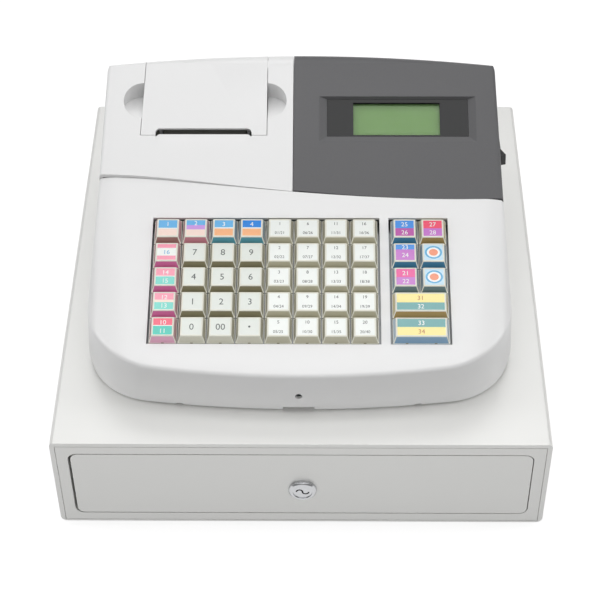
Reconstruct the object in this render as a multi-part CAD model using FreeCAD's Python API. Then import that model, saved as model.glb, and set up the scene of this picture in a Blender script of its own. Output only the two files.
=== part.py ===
import FreeCAD, Part
import math
import os
from FreeCAD import Placement, Rotation, Vector

# Electronic cash register on a steel cash drawer, in millimetres.
# Every piece is drawn with x = 0 on the cabinet's middle, y = 0 on its front face and z = 0 on its
# underside, and is then moved so that the origin is the middle of the footprint, at foot level.

overrun = 20.0
seam_gap = 0.4
seat_gap = 0.3
running_gap = 0.05

# Cabinet of the cash drawer
cabinet_width = 330.0
cabinet_depth = 348.0
cabinet_height = 82.3
cabinet_sheet = 1.2
cabinet_top_radius = 3.0
cabinet_bottom_radius = 4.5
cabinet_back_radius = 1.5
cabinet_bottom_lip = 30.0
front_lip = 3.2
front_lip_bottom = 1.6
base_upstand = 5.0
foot_height = 3.0
foot_radius = 9.0
foot_from_end = 26.0

# Front frame and the opening for the drawer
opening_side = 11.0
opening_bottom = 9.0
opening_from_top = 10.4
opening_radius = 6.0
rim_depth = 13.5

# Drawer
panel_clearance = 0.8
panel_side_gap = 1.2
panel_depth = 13.0
panel_radius = 5.2
panel_play = 0.5
drawer_side = 25.0
drawer_floor = 11.0
drawer_wall_below_top = 24.3
drawer_rear_space = 48.0
drawer_sheet = 1.0
runner_tongue = 12.5
rail_front = 14.0
rail_rear_space = 14.0
rail_leg_reach = 20.0
rail_head_room = 0.8
rail_flange = 5.0

# Lock in the drawer front
lock_x = 1.1
lock_height = 35.5
lock_ring_radius = 9.5
lock_ring_proud = 3.0
lock_ring_bevel = 1.4
lock_barrel_radius = 8.0
lock_barrel_depth = 16.0
lock_nut_across = 22.0
lock_nut_thick = 2.8
lock_plug_radius = 6.5
lock_plug_set_back = 0.6
keyway_radius = 2.6
keyway_width = 1.1
keyway_depth = 6.0
cam_length = 40.0
cam_width = 10.0
cam_thick = 2.0
cam_screw_radius = 2.5
cam_corner_share = 0.45

# Cash tray in the drawer
tray_side_gap = 6.0
tray_front_gap = 17.0
tray_back_gap = 4.0
tray_below_wall = 4.0
tray_wall = 2.4
tray_rim = 3.0
tray_split = 102.0
tray_rim_thick = 1.6
coin_cups = 5
bill_bays = 4
scoop_radius = 20.0

# Bill clips
clip_axis_back = 9.0
clip_axis_below_top = 4.0
clip_barrel_radius = 3.5
clip_pin_radius = 2.0
clip_pin_length = 1.2
clip_pin_share = 0.9
clip_arm_length = 74.0
clip_arm_width = 16.0
clip_arm_thick = 2.0
clip_foot_radius = 3.0

# Drawer release at the back of the cabinet
latch_pivot_x = 14.0
latch_rear_space = 14.0
latch_height = 14.0
latch_thick = 2.0
latch_hub_radius = 6.0
latch_pin_radius = 3.0
latch_arm_width = 6.0
latch_hook_reach = 29.0
latch_armature_reach = 33.0
latch_tooth = 3.5
latch_nose = 1.0
strike_thick = 2.0
strike_gap = 2.0
strike_height = 14.0
strike_lap = 2.5
strike_pass = 4.2
solenoid_width = 22.0
solenoid_length = 20.0
solenoid_height = 24.0
solenoid_core_radius = 5.0
solenoid_core_length = 2.0
solenoid_stroke = 5.8

# Register housing: plan
body_middle = -1.4
body_gap = 1.0
body_front = 28.0
body_half_width = 145.0
side_draft_deg = 3.0
side_taper_deg = 0.65
side_taper_start = 70.0
front_bow_radius = 743.0
corner_radius = 48.5
corner_radius_grown = 74.7
back_bow_radius = 850.0
body_rear_space = 75.0
back_corner_radius = 13.0
body_wall = 2.5
skirt_height = 8.0
skirt_undercut = 1.6
body_ceiling = 215.0
seat_pad_radius = 8.0
skirt_notch_width = 21.0
skirt_notch_height = 2.0
skirt_slot_width = 4.5
skirt_slot_height = 1.0
skirt_slot_shift = 79.5

# Register housing: keyboard deck
deck_tilt_deg = 15.17
deck_y = 56.8
deck_z = 125.0
deck_front_reach = 45.0
deck_back_reach = 135.0
roll_inset_front = 41.3
roll_inset_back = 15.3
roll_radius_front = 108.8
roll_radius_back = 40.0
roll_turn_deg = 14.0
shoulder_radius_front = 16.2
shoulder_radius_back = 6.6
shoulder_turn_deg = 62.0
deck_edge_radius = 3.0
rear_side_radius = 2.5
front_hole_radius = 2.45
front_hole_rise = 6.4

# Register housing: rear slope
slope_tilt_deg = 25.0
slope_y = 166.6
slope_z = 154.8
slope_edge_radius = 14.0
slope_edge_crossing = 0.02
edge_sweep_deg = 24.0
seam_front_y = 160.9
seam_sweep = 16.6
seam_overhang = 7.0
display_seam_gap = 0.8
seam_x_shares = (-1.0, -0.655, -0.33, -0.04, 0.52, 1.0)
seam_y_shares = (1.0, 0.885, 0.58, 0.32, 0.0, 0.05)
housing_split = -6.5
cap_parting_y = 160.0
cap_parting_z = 141.0
cap_parting_deg = 17.5

# Keys
key_pitch = 19.05
key_base = 18.3
key_top_width = 14.4
key_top_length = 14.0
key_height = 4.4
key_skirt = 2.1
key_collar = 1.5
key_dish = 0.4
key_dish_margin = 1.2
key_block_x = -91.1
key_row_start = 4.1
key_top_shift = 0.8
key_pad_x = 69.8
key_rows = 5
key_columns = 8
pad_columns = 2
deck_opening_margin = 1.2
opening_front_margin = 0.4
opening_back_margin = 2.0
stem_width = 4.0
stem_length = 6.4
stem_gap = 0.15
switch_width = 14.0
switch_top = 6.0
switch_height = 6.0
plate_thick = 1.6
plate_margin = 8.0
plate_side = 7.5
post_radius = 3.5
post_from_opening = 5.0

# Printer bay and its cover, along the rear slope
cover_left_front = -115.0
cover_left_back = -110.4
cover_right = -25.1
cover_front = 42.4
cover_gap = 0.4
cover_wall = 2.5
cover_back_height = 188.5
slot_left = -103.0
slot_right = -35.6
slot_back = 47.4
lip_front = 36.6
lip_back = 43.5
lip_depth = 1.3
lip_radius = 3.0
bay_left = -114.7
bay_right = -23.8
bay_front = 202.0
bay_floor = 115.7
bay_wall = 2.0
bay_neck = 172.0
bay_back_wall = 2.3
hinge_y = 261.7
hinge_z = 185.5
hinge_barrel_radius = 3.0
hinge_pin_radius = 1.5
hinge_slot_depth = 6.3
recess_along = 68.9
recess_radius = 13.7
recess_front_depth = 1.0
recess_left = -112.5
recess_right = -25.0

# Printing mechanism
platen_y = 217.0
platen_z = 163.0
platen_radius = 6.0
platen_left = -98.0
platen_right = -40.0
platen_shaft_radius = 2.0
platen_bracket = 2.0
platen_bracket_gap = 1.0
bracket_share = 0.7
platen_gear_radius = 5.8
platen_gear_width = 3.0
head_depth = 10.5
head_height = 5.5
frame_leg = 6.0
tear_bar_thick = 0.8
tear_bar_top = 169.0
roll_y = 239.3
roll_z = 141.0
roll_radius = 23.0
roll_core_radius = 6.0
roll_width = 57.0

# Display
bezel_left = 11.6
bezel_right = 121.5
bezel_front = 37.5
bezel_back = 72.3
lens_left = 17.0
lens_right = 116.3
lens_front = 42.3
lens_back = 71.0
lens_depth = 2.2
lens_thick = 1.5
lens_ledge = 0.7
lens_gap = 0.15
lens_frame = 7.0
lens_frame_margin = 3.0
lcd_left = 35.4
lcd_right = 96.5
lcd_front = 43.3
lcd_back = 68.6
lcd_glass = 2.2
lcd_board = 2.4
lcd_board_margin = 4.0

# Power switch on the right side and mains inlet at the back
switch_y = 216.0
switch_z = 147.3
switch_length = 22.0
switch_face_height = 13.0
switch_flange = 1.5
switch_rim = 1.6
switch_body_depth = 16.0
switch_body_inset = 0.6
switch_hollow_depth = 10.0
rocker_swing_radius = 9.1
rocker_height = 9.2
rocker_swing_deg = 28.0
rocker_flush = 0.75
rocker_depth = 7.0
rocker_foot = 4.0
rocker_low_deg = 100.0
rocker_pin_radius = 0.7
rocker_pin_reach = 5.4
jack_x = 84.0
jack_height = 104.0
jack_width = 14.0
jack_tall = 11.0
jack_depth = 11.0
jack_flange = 2.0
jack_flange_thick = 1.6
jack_bore_radius = 2.9
jack_pin_radius = 1.0
jack_bore_share = 0.8
jack_pin_share = 0.9

# Worked out from the sizes above
cabinet_half = cabinet_width / 2
opening_half_width = cabinet_half - opening_side
opening_top = cabinet_height - opening_from_top
drawer_half_width = cabinet_half - drawer_side
drawer_wall_top = cabinet_height - drawer_wall_below_top
drawer_back = cabinet_depth - drawer_rear_space
rail_back = cabinet_depth - rail_rear_space
tray_half_width = drawer_half_width - tray_side_gap
tray_front = panel_depth + tray_front_gap
tray_back = drawer_back - tray_back_gap
tray_top = drawer_wall_top - tray_below_wall
latch_pivot_y = cabinet_depth - latch_rear_space
body_back = cabinet_depth - body_rear_space
seam_half_width = body_half_width + seam_overhang
roll_start_front = body_half_width - roll_inset_front
roll_start_back = body_half_width - roll_inset_back
hinge_slot_bottom = hinge_z - hinge_slot_depth
body_floor = cabinet_height + body_gap
body_parting = body_floor + skirt_height
front_hole_height = body_parting + front_hole_rise
slope_rise = math.tan(math.radians(slope_tilt_deg))
rows_length = (key_rows - 1) * key_pitch
opening_front = key_row_start - key_pitch / 2 - opening_front_margin
opening_back = key_row_start + rows_length + key_pitch / 2 + opening_back_margin
half = 0.5
full_turn = 360
quarter_turn = 90


# Building blocks

def box(x0, x1, y0, y1, z0, z1):
    return Part.makeBox(x1 - x0, y1 - y0, z1 - z0, Vector(x0, y0, z0))


def cylinder(radius, start, direction, length):
    return Part.makeCylinder(radius, length, Vector(*start), Vector(*direction))


def rod_x(radius, x0, x1, y, z):
    return cylinder(radius, (x0, y, z), (1, 0, 0), x1 - x0)


def side_prism(points, x0, x1):
    """Solid between x0 and x1 whose section is given by y, z points."""
    corners = [Vector(x0, y, z) for y, z in points]
    outline = Part.makePolygon(corners + corners[:1])
    return Part.Face(outline).extrude(Vector(x1 - x0, 0, 0))


def plan_prism(points, z0, z1):
    """Solid between z0 and z1 whose plan is given by x, y points."""
    corners = [Vector(x, y, z0) for x, y in points]
    outline = Part.makePolygon(corners + corners[:1])
    return Part.Face(outline).extrude(Vector(0, 0, z1 - z0))


def edges_along(shape, axis):
    """Straight edges of the shape that run along one axis."""
    found = []
    for edge in shape.Edges:
        if len(edge.Vertexes) == 2 and edge.Curve.TypeId == "Part::GeomLine":
            run = edge.Vertexes[1].Point.sub(edge.Vertexes[0].Point)
            if abs(run.getAngle(Vector(*axis)) - math.pi / 2) > math.pi / 4:
                found.append(edge)
    return found


def rounded_box(x0, x1, y0, y1, z0, z1, radius, axis):
    block = box(x0, x1, y0, y1, z0, z1)
    return block.makeFillet(radius, edges_along(block, axis))


def fuse_all(shapes):
    return shapes[0].multiFuse(shapes[1:]).removeSplitter()


def tilted(shape, y, z, angle):
    """Moves a shape drawn on a level plane to a plane that rises towards the back."""
    moved = shape.copy()
    moved.Placement = Placement(Vector(0, y, z), Rotation(Vector(1, 0, 0), angle))
    return moved


def on_deck(shape):
    return tilted(shape, deck_y, deck_z, deck_tilt_deg)


def on_slope(shape):
    return tilted(shape, slope_y, slope_z, slope_tilt_deg)


def slope_height(y):
    return slope_z + (y - slope_y) * slope_rise


def solid_group(shapes):
    return Part.makeCompound(shapes)


# Cash drawer cabinet

def cabinet_section(inset, y0, y1):
    """The cabinet's outline as a bar along y, with round upper and lower corners."""
    block = box(-cabinet_half + inset, cabinet_half - inset, y0, y1, inset, cabinet_height - inset)
    upper = [e for e in edges_along(block, (0, 1, 0)) if e.CenterOfMass.z > cabinet_height / 2]
    block = block.makeFillet(cabinet_top_radius - inset, upper)
    lower = [e for e in edges_along(block, (0, 1, 0)) if e.CenterOfMass.z < inset + cabinet_sheet / 2]
    return block.makeFillet(cabinet_bottom_radius - inset, lower)


def cabinet_cover():
    """Bent steel wrap: top, sides, back and two lips under the sides."""
    outer = cabinet_section(0, 0, cabinet_depth)
    back_rim = [e for e in outer.Edges if e.BoundBox.YMin > cabinet_depth - cabinet_sheet]
    outer = outer.makeFillet(cabinet_back_radius, back_rim)
    hollow = cabinet_section(cabinet_sheet, -overrun, cabinet_depth - cabinet_sheet)
    slot_half = cabinet_half - cabinet_bottom_lip
    slot = box(-slot_half, slot_half, -overrun, cabinet_depth - cabinet_sheet, -overrun, overrun)
    wrap = outer.cut(hollow).cut(slot)
    hem = cabinet_section(0, 0, cabinet_sheet)
    window_half = cabinet_half - front_lip
    window = box(-window_half, window_half, -overrun, overrun, front_lip_bottom, cabinet_height - front_lip)
    return fuse_all([wrap, hem.cut(window)])


def cabinet_base():
    """Floor pan that lies on the wrap's lips."""
    side = cabinet_half - cabinet_bottom_radius
    front = 2 * cabinet_sheet + seam_gap
    back = cabinet_depth - cabinet_sheet - seat_gap
    floor_top = 2 * cabinet_sheet
    pan = box(-side, side, front, back, cabinet_sheet, floor_top)
    front_wall = box(-side, side, front, front + cabinet_sheet, cabinet_sheet, floor_top + base_upstand)
    back_wall = box(-side, side, back - cabinet_sheet, back, cabinet_sheet, floor_top + base_upstand)
    return fuse_all([pan, front_wall, back_wall])


def opening_tool(grow, y0, y1):
    return rounded_box(-opening_half_width - grow, opening_half_width + grow, y0, y1,
                       opening_bottom - grow, opening_top + grow, opening_radius + grow, (0, 1, 0))


def front_frame():
    """Front plate inside the wrap's hem, with a rim folded back round the drawer opening."""
    side = cabinet_half - front_lip - seam_gap
    top = cabinet_height - front_lip - seam_gap
    plate = box(-side, side, 0, cabinet_sheet, front_lip_bottom + seam_gap, top)
    wide = cabinet_half - cabinet_sheet - seat_gap
    backing = box(-wide, wide, cabinet_sheet, 2 * cabinet_sheet, front_lip_bottom + cabinet_sheet * 2,
                  cabinet_height - cabinet_sheet - cabinet_top_radius)
    rim = opening_tool(cabinet_sheet, 0, rim_depth)
    return fuse_all([plate, backing, rim]).cut(opening_tool(0, -overrun, rim_depth + overrun))


def cabinet_feet():
    feet = []
    inward = cabinet_half - cabinet_bottom_lip / 2
    for x in (-inward, inward):
        for y in (foot_from_end, cabinet_depth - foot_from_end):
            foot = cylinder(foot_radius, (x, y, -foot_height), (0, 0, 1), foot_height)
            rim = [e for e in foot.Edges if e.CenterOfMass.z < -foot_height / 2 and e.Closed]
            feet.append(foot.makeChamfer(foot_height / 4, rim))
    return solid_group(feet)


def cabinet_rails():
    """A channel on each side wall, in which the drawer's tongue slides."""
    wall = cabinet_half - cabinet_sheet
    tongue_bottom = drawer_wall_top - drawer_sheet
    low_top = tongue_bottom - seat_gap
    high_bottom = drawer_wall_top + rail_head_room
    rails = []
    for side in (-1, 1):
        def leg(reach, z0, z1):
            near, far = sorted((side * wall, side * (wall - reach)))
            return box(near, far, rail_front, rail_back, z0, z1)
        web = leg(cabinet_sheet, low_top - cabinet_sheet - rail_flange, high_bottom + cabinet_sheet + rail_flange)
        low = leg(rail_leg_reach, low_top - cabinet_sheet, low_top)
        high = leg(rail_leg_reach, high_bottom, high_bottom + cabinet_sheet)
        rails.append(fuse_all([web, low, high]))
    return solid_group(rails)


# Drawer

def panel_block(inset, y0, y1):
    left = -opening_half_width + panel_side_gap + panel_play + inset
    right = opening_half_width - panel_side_gap + panel_play - inset
    return rounded_box(left, right, y0, y1, opening_bottom + panel_clearance + inset,
                       opening_top - panel_clearance - inset, panel_radius - inset, (0, 1, 0))


def lock_bore(radius, y0, y1):
    return cylinder(radius, (lock_x, y0, lock_height), (0, 1, 0), y1 - y0)


def drawer_front():
    """Painted front: a shallow pan with its edges folded back to the drawer."""
    pan = panel_block(0, 0, panel_depth)
    hollow = panel_block(cabinet_sheet, cabinet_sheet, panel_depth + overrun)
    return pan.cut(hollow).cut(lock_bore(lock_barrel_radius + running_gap, -overrun, overrun))


def strike():
    """Catch behind the drawer that the latch hook holds."""
    right = strike_lap + strike_pass + strike_thick
    hook_y = latch_pivot_y - latch_hook_reach + latch_arm_width / 2
    tail = hook_y + strike_gap + strike_thick
    low = latch_height - strike_height / 2 + latch_thick / 2
    high = low + strike_height
    stalk = box(right - strike_thick, right, drawer_back, tail, low, high)
    nib = box(strike_lap, right, tail - strike_thick, tail, low, high)
    return fuse_all([stalk, nib])


def drawer_box():
    """Steel drawer with its side walls folded out into running tongues."""
    outer = box(-drawer_half_width, drawer_half_width, panel_depth, drawer_back, drawer_floor, drawer_wall_top)
    inner = box(-drawer_half_width + drawer_sheet, drawer_half_width - drawer_sheet,
                panel_depth + drawer_sheet, drawer_back - drawer_sheet,
                drawer_floor + drawer_sheet, drawer_wall_top + overrun)
    shell = outer.cut(inner).cut(lock_bore(lock_barrel_radius + seat_gap, panel_depth - overrun, panel_depth + overrun))
    parts = [shell]
    for side in (-1, 1):
        near, far = sorted((side * drawer_half_width, side * (drawer_half_width + runner_tongue)))
        parts.append(box(near, far, rail_front + rim_depth / 2, drawer_back,
                         drawer_wall_top - drawer_sheet, drawer_wall_top))
    parts.append(strike())
    return fuse_all(parts)


def lock_housing():
    """Bright ring and barrel, with the nut that clamps it behind the panel."""
    ring = lock_bore(lock_ring_radius, -lock_ring_proud, 0)
    lip = [e for e in ring.Edges if e.Closed and e.CenterOfMass.y < -lock_ring_proud / 2]
    ring = ring.makeChamfer(lock_ring_bevel, lip)
    barrel = lock_bore(lock_barrel_radius, 0, lock_barrel_depth)
    body = fuse_all([ring, barrel]).cut(lock_bore(lock_plug_radius + running_gap, -overrun, overrun))
    nut_radius = lock_nut_across / math.sqrt(3)
    corners = []
    for step in range(6):
        turn = math.radians(step * full_turn / 6)
        corners.append(Vector(lock_x + nut_radius * math.cos(turn), cabinet_sheet,
                              lock_height + nut_radius * math.sin(turn)))
    nut = Part.Face(Part.makePolygon(corners + corners[:1])).extrude(Vector(0, lock_nut_thick, 0))
    nut = nut.cut(lock_bore(lock_barrel_radius + running_gap, -overrun, overrun))
    return solid_group([body, nut])


def keyway():
    """Wave-shaped keyway: two half rings that join in the middle."""
    y0 = -lock_ring_proud
    cuts = []
    for side in (-1, 1):
        middle = lock_x + side * (keyway_radius - keyway_width / 2)
        ring = cylinder(keyway_radius, (middle, y0 - overrun, lock_height), (0, 1, 0), overrun + keyway_depth)
        core = cylinder(keyway_radius - keyway_width, (middle, y0 - overrun, lock_height), (0, 1, 0),
                        overrun + keyway_depth)
        low, high = sorted((lock_height, lock_height - side * keyway_radius))
        window = box(middle - keyway_radius, middle + keyway_radius, y0 - overrun, y0 + keyway_depth, low, high)
        cuts.append(ring.cut(core).common(window))
    return cuts


def lock_plug():
    """Turning core with its keyway, and the cam screwed to its inner end."""
    face = -lock_ring_proud + lock_plug_set_back
    tail = lock_barrel_depth + seat_gap
    plug = lock_bore(lock_plug_radius, face, tail)
    for cut in keyway():
        plug = plug.cut(cut)
    cam = rounded_box(lock_x - cam_width / 2, lock_x + cam_length, tail, tail + cam_thick,
                      lock_height - cam_width / 2, lock_height + cam_width / 2, cam_width * cam_corner_share, (0, 1, 0))
    screw = lock_bore(cam_screw_radius, tail + cam_thick, tail + 2 * cam_thick)
    return solid_group([plug, fuse_all([cam, screw])])


# Cash tray and bill clips

def tray_bays(count):
    """Left and right side of each bay when the tray's width holds that many."""
    clear = (2 * tray_half_width - (count + 1) * tray_wall) / count
    spans = []
    for index in range(count):
        left = -tray_half_width + tray_wall + index * (clear + tray_wall)
        spans.append((left, left + clear))
    return spans


def coin_cup(left, right):
    """Cup with a scooped front, so that coins can be drawn up with a finger."""
    floor_z = drawer_floor + drawer_sheet + tray_wall
    front = tray_front + tray_wall
    back = tray_split - tray_wall
    turn = math.radians(quarter_turn / 2)
    start = Vector(left, front, floor_z + scoop_radius)
    middle = Vector(left, front + scoop_radius * (1 - math.cos(turn)), floor_z + scoop_radius * (1 - math.sin(turn)))
    end = Vector(left, front + scoop_radius, floor_z)
    top = tray_top + overrun
    corners = [end, Vector(left, back, floor_z), Vector(left, back, top), Vector(left, front, top), start]
    edges = [Part.Arc(start, middle, end).toShape()]
    for near, far in zip(corners[:-1], corners[1:]):
        edges.append(Part.makeLine(near, far))
    return Part.Face(Part.Wire(edges)).extrude(Vector(right - left, 0, 0))


def clip_axis():
    return tray_back - clip_axis_back, tray_top - clip_axis_below_top


def cash_tray():
    """Moulded insert: coin cups at the front, note bays behind them."""
    floor_z = drawer_floor + drawer_sheet
    tray = box(-tray_half_width, tray_half_width, tray_front, tray_back, floor_z, tray_top)
    rim = box(-tray_half_width - tray_rim, tray_half_width + tray_rim, tray_front - tray_rim,
              tray_back + tray_rim / 2, tray_top - tray_rim_thick, tray_top)
    tray = fuse_all([tray, rim])
    for left, right in tray_bays(coin_cups):
        tray = tray.cut(coin_cup(left, right))
    y, z = clip_axis()
    for left, right in tray_bays(bill_bays):
        tray = tray.cut(box(left, right, tray_split, tray_back - tray_wall, floor_z + tray_wall, tray_top + overrun))
        reach = clip_pin_length * clip_pin_share + seat_gap
        tray = tray.cut(rod_x(clip_pin_radius + running_gap, left - reach, right + reach, y, z))
    return tray


def bill_clips():
    """Sprung arms that hold the notes down, one in each note bay."""
    y, z = clip_axis()
    foot_z = drawer_floor + drawer_sheet + tray_wall + clip_foot_radius + seat_gap
    drop = math.degrees(math.asin((z - foot_z) / clip_arm_length))
    clips = []
    for left, right in tray_bays(bill_bays):
        middle = (left + right) / 2
        barrel = rod_x(clip_barrel_radius, left + seat_gap, right - seat_gap, y, z)
        pin = rod_x(clip_pin_radius, left - clip_pin_length * clip_pin_share, right + clip_pin_length * clip_pin_share, y, z)
        arm = box(middle - clip_arm_width / 2, middle + clip_arm_width / 2, -clip_arm_length, 0,
                  -clip_arm_thick / 2, clip_arm_thick / 2)
        arm = tilted(arm, y, z, drop)
        foot_y = y - clip_arm_length * math.cos(math.radians(drop))
        foot = rod_x(clip_foot_radius, middle - clip_arm_width / 2, middle + clip_arm_width / 2, foot_y, foot_z)
        clips.append(fuse_all([barrel, pin, arm, foot]))
    return solid_group(clips)


# Drawer release

def latch_lever():
    """Bell crank: a hook in front of the strike and an arm drawn by the solenoid."""
    z0 = latch_height
    z1 = latch_height + latch_thick
    hub = cylinder(latch_hub_radius, (latch_pivot_x, latch_pivot_y, z0), (0, 0, 1), latch_thick)
    hook_y = latch_pivot_y - latch_hook_reach
    half_arm = latch_arm_width / 2
    bend_y = (hook_y + latch_pivot_y) / 2
    shank = plan_prism([(latch_pivot_x - half_arm, latch_pivot_y), (latch_pivot_x + half_arm, latch_pivot_y),
                        (half_arm / 2, bend_y), (half_arm / 2, hook_y - latch_nose),
                        (-half_arm, hook_y - latch_nose), (-half_arm, bend_y)], z0, z1)
    tooth = box(0, half_arm / 2 + latch_tooth, hook_y - latch_nose, hook_y + half_arm, z0, z1)
    arm = box(latch_pivot_x, latch_pivot_x + latch_armature_reach, latch_pivot_y - latch_thick,
              latch_pivot_y + latch_thick, z0, z1)
    lever = fuse_all([hub, shank, tooth, arm])
    return lever.cut(cylinder(latch_pin_radius + running_gap, (latch_pivot_x, latch_pivot_y, z0 - overrun),
                              (0, 0, 1), 2 * overrun))


def release_solenoid():
    """Magnet coil on the floor pan, and the post that the latch turns on."""
    floor_top = 2 * cabinet_sheet
    right = latch_pivot_x + latch_armature_reach + solenoid_width / 4
    pole = latch_pivot_y - latch_thick - solenoid_stroke
    back = pole - solenoid_core_length
    coil = box(right - solenoid_width, right, back - solenoid_length, back, floor_top, floor_top + solenoid_height)
    core = cylinder(solenoid_core_radius, (right - solenoid_width / 2, back, latch_height + latch_thick / 2),
                    (0, 1, 0), solenoid_core_length)
    post = cylinder(latch_pin_radius, (latch_pivot_x, latch_pivot_y, floor_top), (0, 0, 1),
                    latch_height + 2 * latch_thick - floor_top)
    collar = cylinder(latch_hub_radius, (latch_pivot_x, latch_pivot_y, floor_top), (0, 0, 1),
                      latch_height - seat_gap - floor_top)
    return solid_group([fuse_all([coil, core]), fuse_all([post, collar])])


# Register housing: outer and inner forms

def bowed_plan(inset, z0, z1):
    """Block between the bowed front and the bowed back, with drafted sides."""
    reach = body_half_width + overrun
    tall = z1 - z0
    front_middle = body_front + front_bow_radius
    front = cylinder(front_bow_radius - inset, (body_middle, front_middle, z0), (0, 0, 1), tall)
    back_middle = body_back - back_bow_radius
    back = cylinder(back_bow_radius - inset, (body_middle, back_middle, z0), (0, 0, 1), tall)
    slant = math.tan(math.radians(side_draft_deg))

    def half_at(z):
        return body_half_width - inset - (z - body_parting) * slant
    low = half_at(z0)
    high = half_at(z1)
    corners = [(body_middle - low, z0), (body_middle + low, z0), (body_middle + high, z1), (body_middle - high, z1)]
    sections = []
    for y in (body_front - overrun, body_back + overrun):
        draw_in = (y - side_taper_start) * math.tan(math.radians(side_taper_deg))
        points = [Vector(x - math.copysign(draw_in, x), y, z) for x, z in corners]
        sections.append(Part.makePolygon(points + points[:1]))
    wedge = Part.makeLoft(sections, True, True)
    return wedge.common(front).common(back)


def upright_edges(shape, want_front):
    middle = (body_front + body_back) / 2
    found = []
    for edge in shape.Edges:
        box_ = edge.BoundBox
        if box_.ZLength > (box_.XLength + box_.YLength) * 2 and (edge.CenterOfMass.y < middle) == want_front:
            found.append(edge)
    return found


def plan_form(inset):
    """Plan block with large front corners, which open out upwards, and small back corners."""
    block = bowed_plan(inset, body_parting, body_ceiling)
    for edge in upright_edges(block, True):
        low_first = edge.Vertexes[0].Point.z < edge.Vertexes[1].Point.z
        first = corner_radius if low_first else corner_radius_grown
        last = corner_radius_grown if low_first else corner_radius
        near = nearest_edge(block, edge.CenterOfMass)
        block = block.makeFillet(first - inset, last - inset, [near])
    for edge in upright_edges(block, False):
        if edge.CenterOfMass.y > body_back - overrun:
            near = nearest_edge(block, edge.CenterOfMass)
            block = block.makeFillet(back_corner_radius - inset, [near])
    return block


def nearest_edge(shape, place):
    """The edge whose middle lies nearest to a place, found again after each change of the shape."""
    return min(shape.Edges, key=lambda edge: edge.CenterOfMass.distanceToPoint(place))


def roll_section(u, inset, start, roll_radius_here, shoulder_radius_here):
    """Section of the deck across x: flat, a long roll, a tighter shoulder and a straight skirt."""
    roll = math.radians(roll_turn_deg)
    turn = math.radians(shoulder_turn_deg)

    def arc_point(cx, cz, radius, angle):
        return cx + radius * math.sin(angle), cz + radius * math.cos(angle)
    big = roll_radius_here - inset
    small = shoulder_radius_here - inset
    roll_z = -roll_radius_here
    p0 = (start, -inset)
    p1 = arc_point(start, roll_z, big, roll / 2)
    p2 = arc_point(start, roll_z, big, roll)
    cx = start + (roll_radius_here - shoulder_radius_here) * math.sin(roll)
    cz = roll_z + (roll_radius_here - shoulder_radius_here) * math.cos(roll)
    p3 = arc_point(cx, cz, small, (roll + turn) / 2)
    p4 = arc_point(cx, cz, small, turn)
    p5 = (p4[0] + overrun * math.cos(turn), p4[1] - overrun * math.sin(turn))
    p6 = (p5[0], -body_half_width)

    def place(point, side):
        return Vector(body_middle + side * point[0], u, point[1])
    edges = [Part.makeLine(place(p0, -1), place(p0, 1))]
    edges.append(Part.Arc(place(p0, 1), place(p1, 1), place(p2, 1)).toShape())
    edges.append(Part.Arc(place(p2, 1), place(p3, 1), place(p4, 1)).toShape())
    for near, far in ((p4, p5), (p5, p6)):
        edges.append(Part.makeLine(place(near, 1), place(far, 1)))
    edges.append(Part.makeLine(place(p6, 1), place(p6, -1)))
    for near, far in ((p6, p5), (p5, p4)):
        edges.append(Part.makeLine(place(near, -1), place(far, -1)))
    edges.append(Part.Arc(place(p4, -1), place(p3, -1), place(p2, -1)).toShape())
    edges.append(Part.Arc(place(p2, -1), place(p1, -1), place(p0, -1)).toShape())
    return Part.Wire(edges)


def deck_form(inset):
    """Everything under the keyboard deck, whose sides roll off more towards the front."""
    front = roll_section(-deck_front_reach, inset, roll_start_front, roll_radius_front, shoulder_radius_front)
    back = roll_section(deck_back_reach, inset, roll_start_back, roll_radius_back, shoulder_radius_back)
    return on_deck(Part.makeLoft([front, back], True, True))


def rear_form(inset):
    """Everything under the rear slope, with its rounded upper back edge."""
    reach = body_half_width + overrun
    base = slope_height(body_front) - inset / math.cos(math.radians(slope_tilt_deg))
    lift = (body_back + back_corner_radius - body_front) * slope_rise
    return side_prism([(body_front, body_parting - overrun), (body_front, base),
                       (body_back + back_corner_radius, base + lift),
                       (body_back + back_corner_radius, body_parting - overrun)], -reach, reach)


def rear_edge_trim(inset):
    """What the rounded upper back edge takes off: bowed like the back and swept along it."""
    radius = slope_edge_radius - inset + slope_edge_crossing
    back_middle = body_back - back_bow_radius
    lean = math.radians(slope_tilt_deg)
    axis_y = body_back - slope_edge_radius
    axis_z = slope_height(axis_y) - slope_edge_radius / math.cos(lean)
    top = Vector(0, axis_y - radius * math.sin(lean), axis_z + radius * math.cos(lean))
    turn = (math.pi / 2 - lean) / 2
    middle = Vector(0, axis_y + radius * math.sin(turn), axis_z + radius * math.cos(turn))
    end = Vector(0, axis_y + radius, axis_z)
    far = Vector(0, axis_y + radius + overrun, axis_z)
    high = Vector(0, axis_y + radius + overrun, axis_z + 2 * overrun)
    back_up = Vector(0, top.y, axis_z + 2 * overrun)
    wire = Part.Wire([Part.Arc(top, middle, end).toShape(), Part.makeLine(end, far), Part.makeLine(far, high),
                      Part.makeLine(high, back_up), Part.makeLine(back_up, top)])
    swept = Part.Face(wire).revolve(Vector(0, back_middle, 0), Vector(0, 0, 1), edge_sweep_deg)
    swept.rotate(Vector(0, back_middle, 0), Vector(0, 0, 1), -edge_sweep_deg / 2)
    swept.translate(Vector(body_middle, 0, 0))
    return swept


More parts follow.
